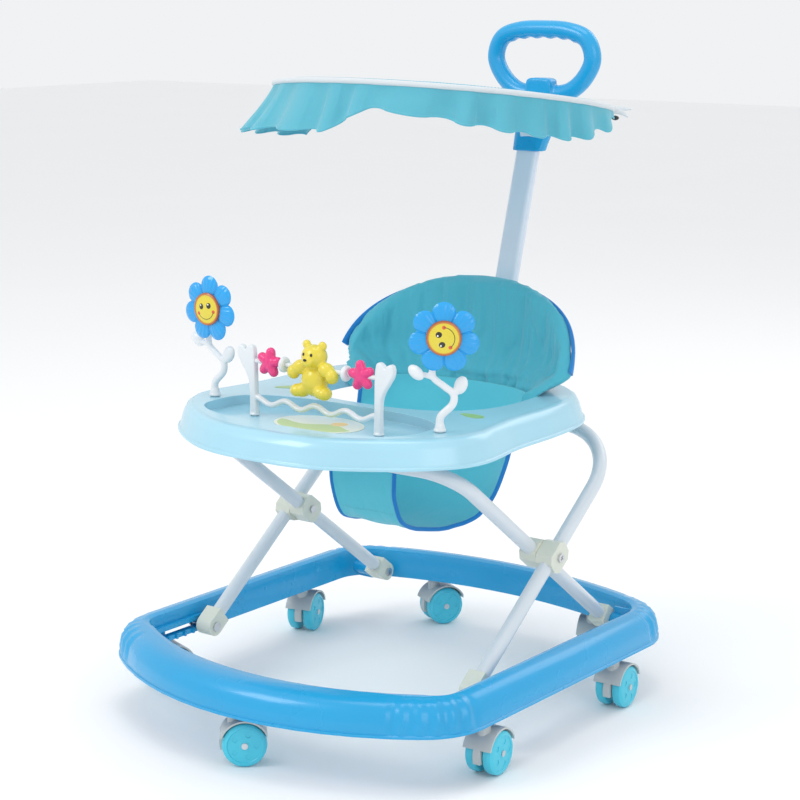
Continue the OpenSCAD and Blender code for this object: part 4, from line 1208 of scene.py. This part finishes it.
@dataclass
class PushHandle(Assembly):
    """Loop handle on a flat post that stands in a socket behind the seat."""

    y: float = 366.0
    z: float = 876.5
    grip: float = 12.4
    half_loop: tuple[tuple[float, float], ...] = (
        (0, 0), (40, -2), (70, -13), (80.5, -40), (68, -66), (46, -84), (20, -90), (0, -91))
    neck: tuple[tuple[float, float, float, float], ...] = (
        (797, 366, 34, 10.5), (788, 366, 41, 11.5), (774, 364, 40, 12.5), (752, 354, 33, 13.2),
        (732, 342, 27.5, 13.2), (716, 334.5, 25, 12.8), (709.5, 332, 24.4, 12.6))

    def build(self) -> None:
        """Makes the loop, dresses the post, socket and button."""
        self.fit(self.loop(), Body.TRAY, AZURE, "azure_plastic", ["push_handle"])
        self.refine("push_post", Body.TRAY, POST, "post_paint", 0.4)
        self.refine("post_socket", Body.TRAY, AZURE, "azure_plastic", 1.6)
        self.refine("post_button", "button", CREAM, "cream_plastic", 0.8)

    def loop(self) -> bpy.types.Object:
        """Loop with five finger scallops in the top of its hole, a badge pad and a tapering neck."""
        knots = list(self.half_loop) + [(-x, z) for x, z in reversed(self.half_loop[1:-1])]
        path = curve([(x, z, 0) for x, z in knots], 10, loop=True)
        middle = Vector((0, -46, 0))
        rings = []
        for i, p in enumerate(path):
            run = (path[(i + 1) % len(path)] - path[i - 1]).normalized()
            out = Vector((-run.y, run.x, 0))
            if out.dot(p - middle) < 0:
                out = -out
            top = max(0.0, min(1.0, (p.y + 22) / 14)) * max(0.0, min(1.0, (62 - abs(p.x)) / 8))
            scallop = 2.6 * top * (0.5 + 0.5 * math.cos(math.tau * p.x / 22.5))
            ring = []
            for k in range(20):
                a = math.tau * k / 20
                inward = max(0.0, -math.cos(a))
                r = self.grip - scallop * inward ** 2 + 1.2 * top * inward ** 2
                point = p + out * (r * math.cos(a))
                ring.append((point.x, self.y + self.grip * math.sin(a), self.z + point.y))
            rings.append(ring)
        neck = []
        for z, y, wide, deep in self.neck:
            neck.append([(wide * math.copysign(abs(math.cos(t)) ** 0.55, math.cos(t)),
                          y + deep * math.copysign(abs(math.sin(t)) ** 0.6, math.sin(t)), z)
                         for t in (math.tau * k / 40 for k in range(40))])
        pad = []
        for y, inset in ((self.y - 16.2, 3.0), (self.y - 15.4, 1.2), (self.y - 13.5, 0.0), (self.y + 4, 0.0)):
            pad.append([((21 - inset) * math.copysign(abs(math.cos(t)) ** 0.4, math.cos(t)), y,
                         self.z - 84 + (17 - inset) * math.copysign(abs(math.sin(t)) ** 0.4, math.sin(t)))
                        for t in (math.tau * k / 40 for k in range(40))])
        shapes = gather([skin(rings, loop=True), skin(neck), skin(pad)])
        return fuse(finish_mesh("handle_moulded", *shapes), 1.5, 3)


# ---- canopy ---------------------------------------------------------------


@dataclass
class Canopy(Assembly):
    """Oval sun canopy: stretched top, bound rim and a gathered frill."""

    half: tuple[float, float] = (240.0, 200.0)
    hinge: tuple[float, float] = (333.0, 762.0)
    pitch: float = 8.4
    reach: float = 14.0
    rim: float = 3.5
    dome: float = 11.0
    frill: tuple[float, float] = (160.0, 382.0)
    depths: tuple[tuple[float, float], ...] = (
        (160, 20), (172, 56), (215, 60), (264, 59), (280, 31), (296, 33), (312, 38), (332, 44), (350, 43),
        (366, 28), (382, 6))

    def build(self) -> None:
        """Makes the canopy's pieces."""
        for node, body in (("canopy_bracket", Body.TRAY), ("canopy_hub", Body.CANOPY)):
            self.refine(node, body, WHITE, "white_plastic", 0.8)
        self.dress("canopy_hinge_pin", ZINC)
        rim = finish_mesh("canopy_binding", *tube(
            [self.at(*self.oval(t, self.rim), 0) for t in (math.tau * k / 160 for k in range(160))],
            lambda t: (3.1 + 0.25 * math.sin(t * 160), 3.6), 12, loop=True, side=self.up()))
        self.fit(rim, Body.CANOPY, HEM, "white_plastic", ["canopy_rim"])
        top = self.top()
        seam = [self.at(*self.oval(t, 11.0), self.height(1 - 11.0 / self.half[1]) + 0.9)
                for t in (math.tau * k / 300 for k in range(301))]
        self.fit(Stitches("canopy_stitches", seam).build(self.palette.get(THREAD)), Body.CANOPY, None,
                 "canopy_fabric")
        self.fit(top, Body.CANOPY, CANOPY, "canopy_fabric", ["canopy_top"])
        width, length = 2 * (self.half[0] - 5) * MM, 2 * (self.half[1] - 5) * MM
        width * length * math.pi / 4
        self.skirt()
        self.tails()

    def up(self) -> Vector:
        """Normal of the canopy's plane."""
        a = math.radians(self.pitch)
        return Vector((0, math.sin(a), math.cos(a)))

    def at(self, x: float, y: float, z: float) -> Vector:
        """A point of the canopy's own plane, whose middle is its origin."""
        a = math.radians(-self.pitch)
        local_y = y - self.reach - self.half[1]
        return Vector((x, self.hinge[0] + local_y * math.cos(a) - z * math.sin(a),
                       self.hinge[1] + local_y * math.sin(a) + z * math.cos(a)))

    def oval(self, t: float, inset: float) -> tuple[float, float]:
        """Plan point of the rim at angle t, moved inwards."""
        c, s = math.cos(t), math.sin(t)
        out = Vector((self.half[1] * c, self.half[0] * s)).normalized()
        return self.half[0] * c - out.x * inset, self.half[1] * s - out.y * inset

    def height(self, share: float) -> float:
        """Height of the stretched top over its rim, at a share of the way out."""
        return 2.2 + self.dome * (1 - share * share) ** 0.9 if share < 1 else 2.2

    def top(self) -> bpy.types.Object:
        """Stretched cloth with a low crown and soft pulls towards the rim."""
        rings, around, verts, faces, uv = 26, 144, [], [], []
        for j in range(rings + 1):
            share = max(0.02, j / rings)
            for k in range(around):
                t = math.tau * k / around
                x, y = self.oval(t, 5.2)
                x, y = x * share, y * share
                pull = 0.9 * noise.noise(Vector((4 * math.cos(t), 4 * math.sin(t), share * 1.2))) * share
                pull += 0.5 * math.sin(t * 36) * max(0.0, share - 0.85) * 6
                verts.append(tuple(self.at(x, y, self.height(share) + pull)))
                uv.append((x, y))
        for j in range(rings):
            for k in range(around):
                a, b = j * around + k, j * around + (k + 1) % around
                faces.append((a, b, b + around, a + around))
        faces.append(tuple(range(around)))
        piece = finish_mesh("canopy_cloth", verts, faces, lambda v: uv[v])
        modify(piece, "SOLIDIFY", thickness=1.2 * MM, offset=0.0)
        return settle(piece, 60)

    def drop(self, degrees: float) -> tuple[float, float]:
        """Depth and outward flare of the frill at an angle."""
        for (a, low), (b, high) in zip(self.depths, self.depths[1:]):
            if a <= degrees <= b:
                share = (degrees - a) / (b - a)
                depth = low + (high - low) * share * share * (3 - 2 * share)
                break
        near = 0.5 + 0.5 * math.cos(math.radians(degrees - 212))
        ragged = 3.0 * noise.noise(Vector((degrees * 0.06, 0.4, 0.9)))
        return depth + ragged * min(1.0, depth / 30), (8 + 26 * near ** 4) * min(1.0, depth / 40)

    def skirt(self) -> None:
        """Gathered frill under the front and sides of the rim, with a rolled hem."""
        first, last = self.frill
        count, rows = 520, 12
        verts, faces, uv, run = [], [], [], 0.0
        before = None
        for k in range(count + 1):
            degrees = first + (last - first) * k / count
            t = math.radians(degrees)
            depth, flare = self.drop(degrees)
            wander = 1.9 * noise.noise(Vector((degrees * 0.035, 3.3, 0.1)))
            phase = degrees * 0.175 + wander
            fullness = 6.0 + 5.0 * noise.noise(Vector((degrees * 0.05, 1.1, 8.0)))
            lean = 1.1 * noise.noise(Vector((degrees * 0.03, 7.7, 0.5)))
            edge = None
            for j in range(rows + 1):
                s = j / rows
                pleat = math.sin(phase * math.tau / 2.4 + lean * s)
                sharp = math.copysign(abs(pleat) ** 0.75, pleat)
                wave = (0.6 + fullness * s ** 0.8) * sharp
                wave += 2.0 * s * noise.noise(Vector((degrees * 0.11, s * 2, 5.0)))
                x, y = self.oval(t, 3.4 - wave * min(1.0, depth / 40) - flare * s ** 1.3)
                low = 3.6 + depth * s + 2.5 * s * sharp
                point = self.at(x, y, -low)
                verts.append(tuple(point))
                edge = point
            if before is not None:
                run += (edge - before).length
            before = edge
            uv += [(run, j / rows * depth) for j in range(rows + 1)]
        across = rows + 1
        for k in range(count):
            for j in range(rows):
                a = k * across + j
                faces.append((a, a + across, a + across + 1, a + 1))
        cloth = finish_mesh("canopy_frill_cloth", verts, faces, lambda v: uv[v])
        area = sum(f.area for f in cloth.data.polygons)
        modify(cloth, "SOLIDIFY", thickness=1.0 * MM, offset=0.0)
        settle(cloth, 70)
        self.fit(cloth, Body.CANOPY, FRILL, "canopy_fabric", ["canopy_frill"])
        line = [Vector(verts[k * across + rows]) for k in range(count + 1)]
        hem = finish_mesh("frill_hem", *tube(line, lambda t: (1.1, 1.5), 8, side=self.up()))
        self.fit(hem, Body.CANOPY, FRILL, "canopy_fabric")
        deepest = max(self.drop(first + (last - first) * k / 60)[0] for k in range(61)) * MM
        min(area, run * MM * deepest)

    def tails(self) -> None:
        """Two pointed ends of the binding and the small clip under them."""
        parts = []
        for degrees, lift, swing in ((34, 4.0, 22), (28, -8.0, 17)):
            t = math.radians(degrees)
            x, y = self.oval(t, 3.0)
            root = self.at(x, y, 0)
            tip = self.at(x + swing, y + swing * 0.55, lift)
            path = curve([tuple(root), tuple((root + tip) / 2 + Vector((0, 0, 1.5))), tuple(tip)], 6)
            parts.append(tube(path, lambda t: (1.2, 5.2 * (1 - t) ** 0.8 + 0.3), 10, side=self.up()))
        self.fit(finish_mesh("binding_tails", *gather(parts)), Body.CANOPY, HEM, "canopy_fabric")
        x, y = self.oval(math.radians(24), 1.0)
        clip = ball(tuple(self.at(x + 1, y, -11)), (5.5, 3.5, 3.2), detail=2)
        self.fit(finish_mesh("canopy_clip", *clip), Body.CANOPY, BLACK, "black_plastic")


# ---- studio ---------------------------------------------------------------


@dataclass
class Studio:
    """Pale floor, soft lights and the camera."""

    eye: Point = (1610.3, -2099.1, 948.5)
    yaw: float = 37.0885
    tilt: float = 11.5924
    lens: float = 92.87
    lamps: tuple[tuple[str, Point, float, float], ...] = (
        ("key", (-1.4, -2.4, 2.6), 28.0, 1.3), ("fill", (2.8, -1.0, 1.7), 12.0, 1.6),
        ("back", (0.6, 2.6, 2.4), 12.0, 1.6), ("top", (0.0, 0.0, 3.1), 12.0, 1.4))

    def build(self) -> None:
        """Makes the floor, the world, the lights and the camera."""
        mesh = bpy.data.meshes.new("floor")
        reach = 12.0
        mesh.from_pydata([(-reach, -reach, 0), (reach, -reach, 0), (reach, reach, 0), (-reach, reach, 0)], [],
                         [(0, 1, 2, 3)])
        floor = link("floor", mesh)
        book = NodeBook("floor_paint")
        tone = book.noise(book.place(), 1.5, 2.0)
        floor.data.materials.append(book.close({
            "Base Color": book.blend(tone, (0.93, 0.93, 0.94), (0.95, 0.95, 0.95)), "Roughness": 0.75}))
        world = bpy.data.worlds.new("studio")
        world.use_nodes = True
        back = world.node_tree.nodes["Background"]
        back.inputs[0].default_value = (0.97, 0.985, 1.0, 1)
        back.inputs[1].default_value = 0.90
        bpy.context.scene.world = world
        bpy.context.scene.view_settings.view_transform = "Standard"
        for name, at, power, size in self.lamps:
            light = bpy.data.lights.new(name, "AREA")
            light.energy, light.size = power, size
            lamp = bpy.data.objects.new(name, light)
            lamp.location = at
            lamp.rotation_euler = (Vector((0, 0, 0.4)) - Vector(at)).to_track_quat("-Z", "Y").to_euler()
            bpy.context.scene.collection.objects.link(lamp)
        self.camera()

    def camera(self) -> None:
        """Creates the camera."""
        data = bpy.data.cameras.new("view")
        data.lens, data.sensor_width = self.lens, 36.0
        data.clip_start, data.clip_end = 0.1, 60.0
        view = bpy.data.objects.new("view", data)
        view.location = Frame.place(*self.eye)
        view.rotation_euler = (math.radians(90 - self.tilt), 0, math.radians(self.yaw))
        bpy.context.scene.collection.objects.link(view)
        bpy.context.scene.camera = view


def main() -> None:
    """Builds the walker's looks in order."""
    logging.basicConfig(level=logging.INFO, format="%(name)s: %(message)s")
    palette = Palette()
    for assembly in (RingBase, Legs, PlayTray, Seat, Toys, PushHandle, Canopy):
        LOG.info("building %s", assembly.__name__)
        assembly(palette).build()
    Studio().build()


if __name__ == "__main__":
    main()
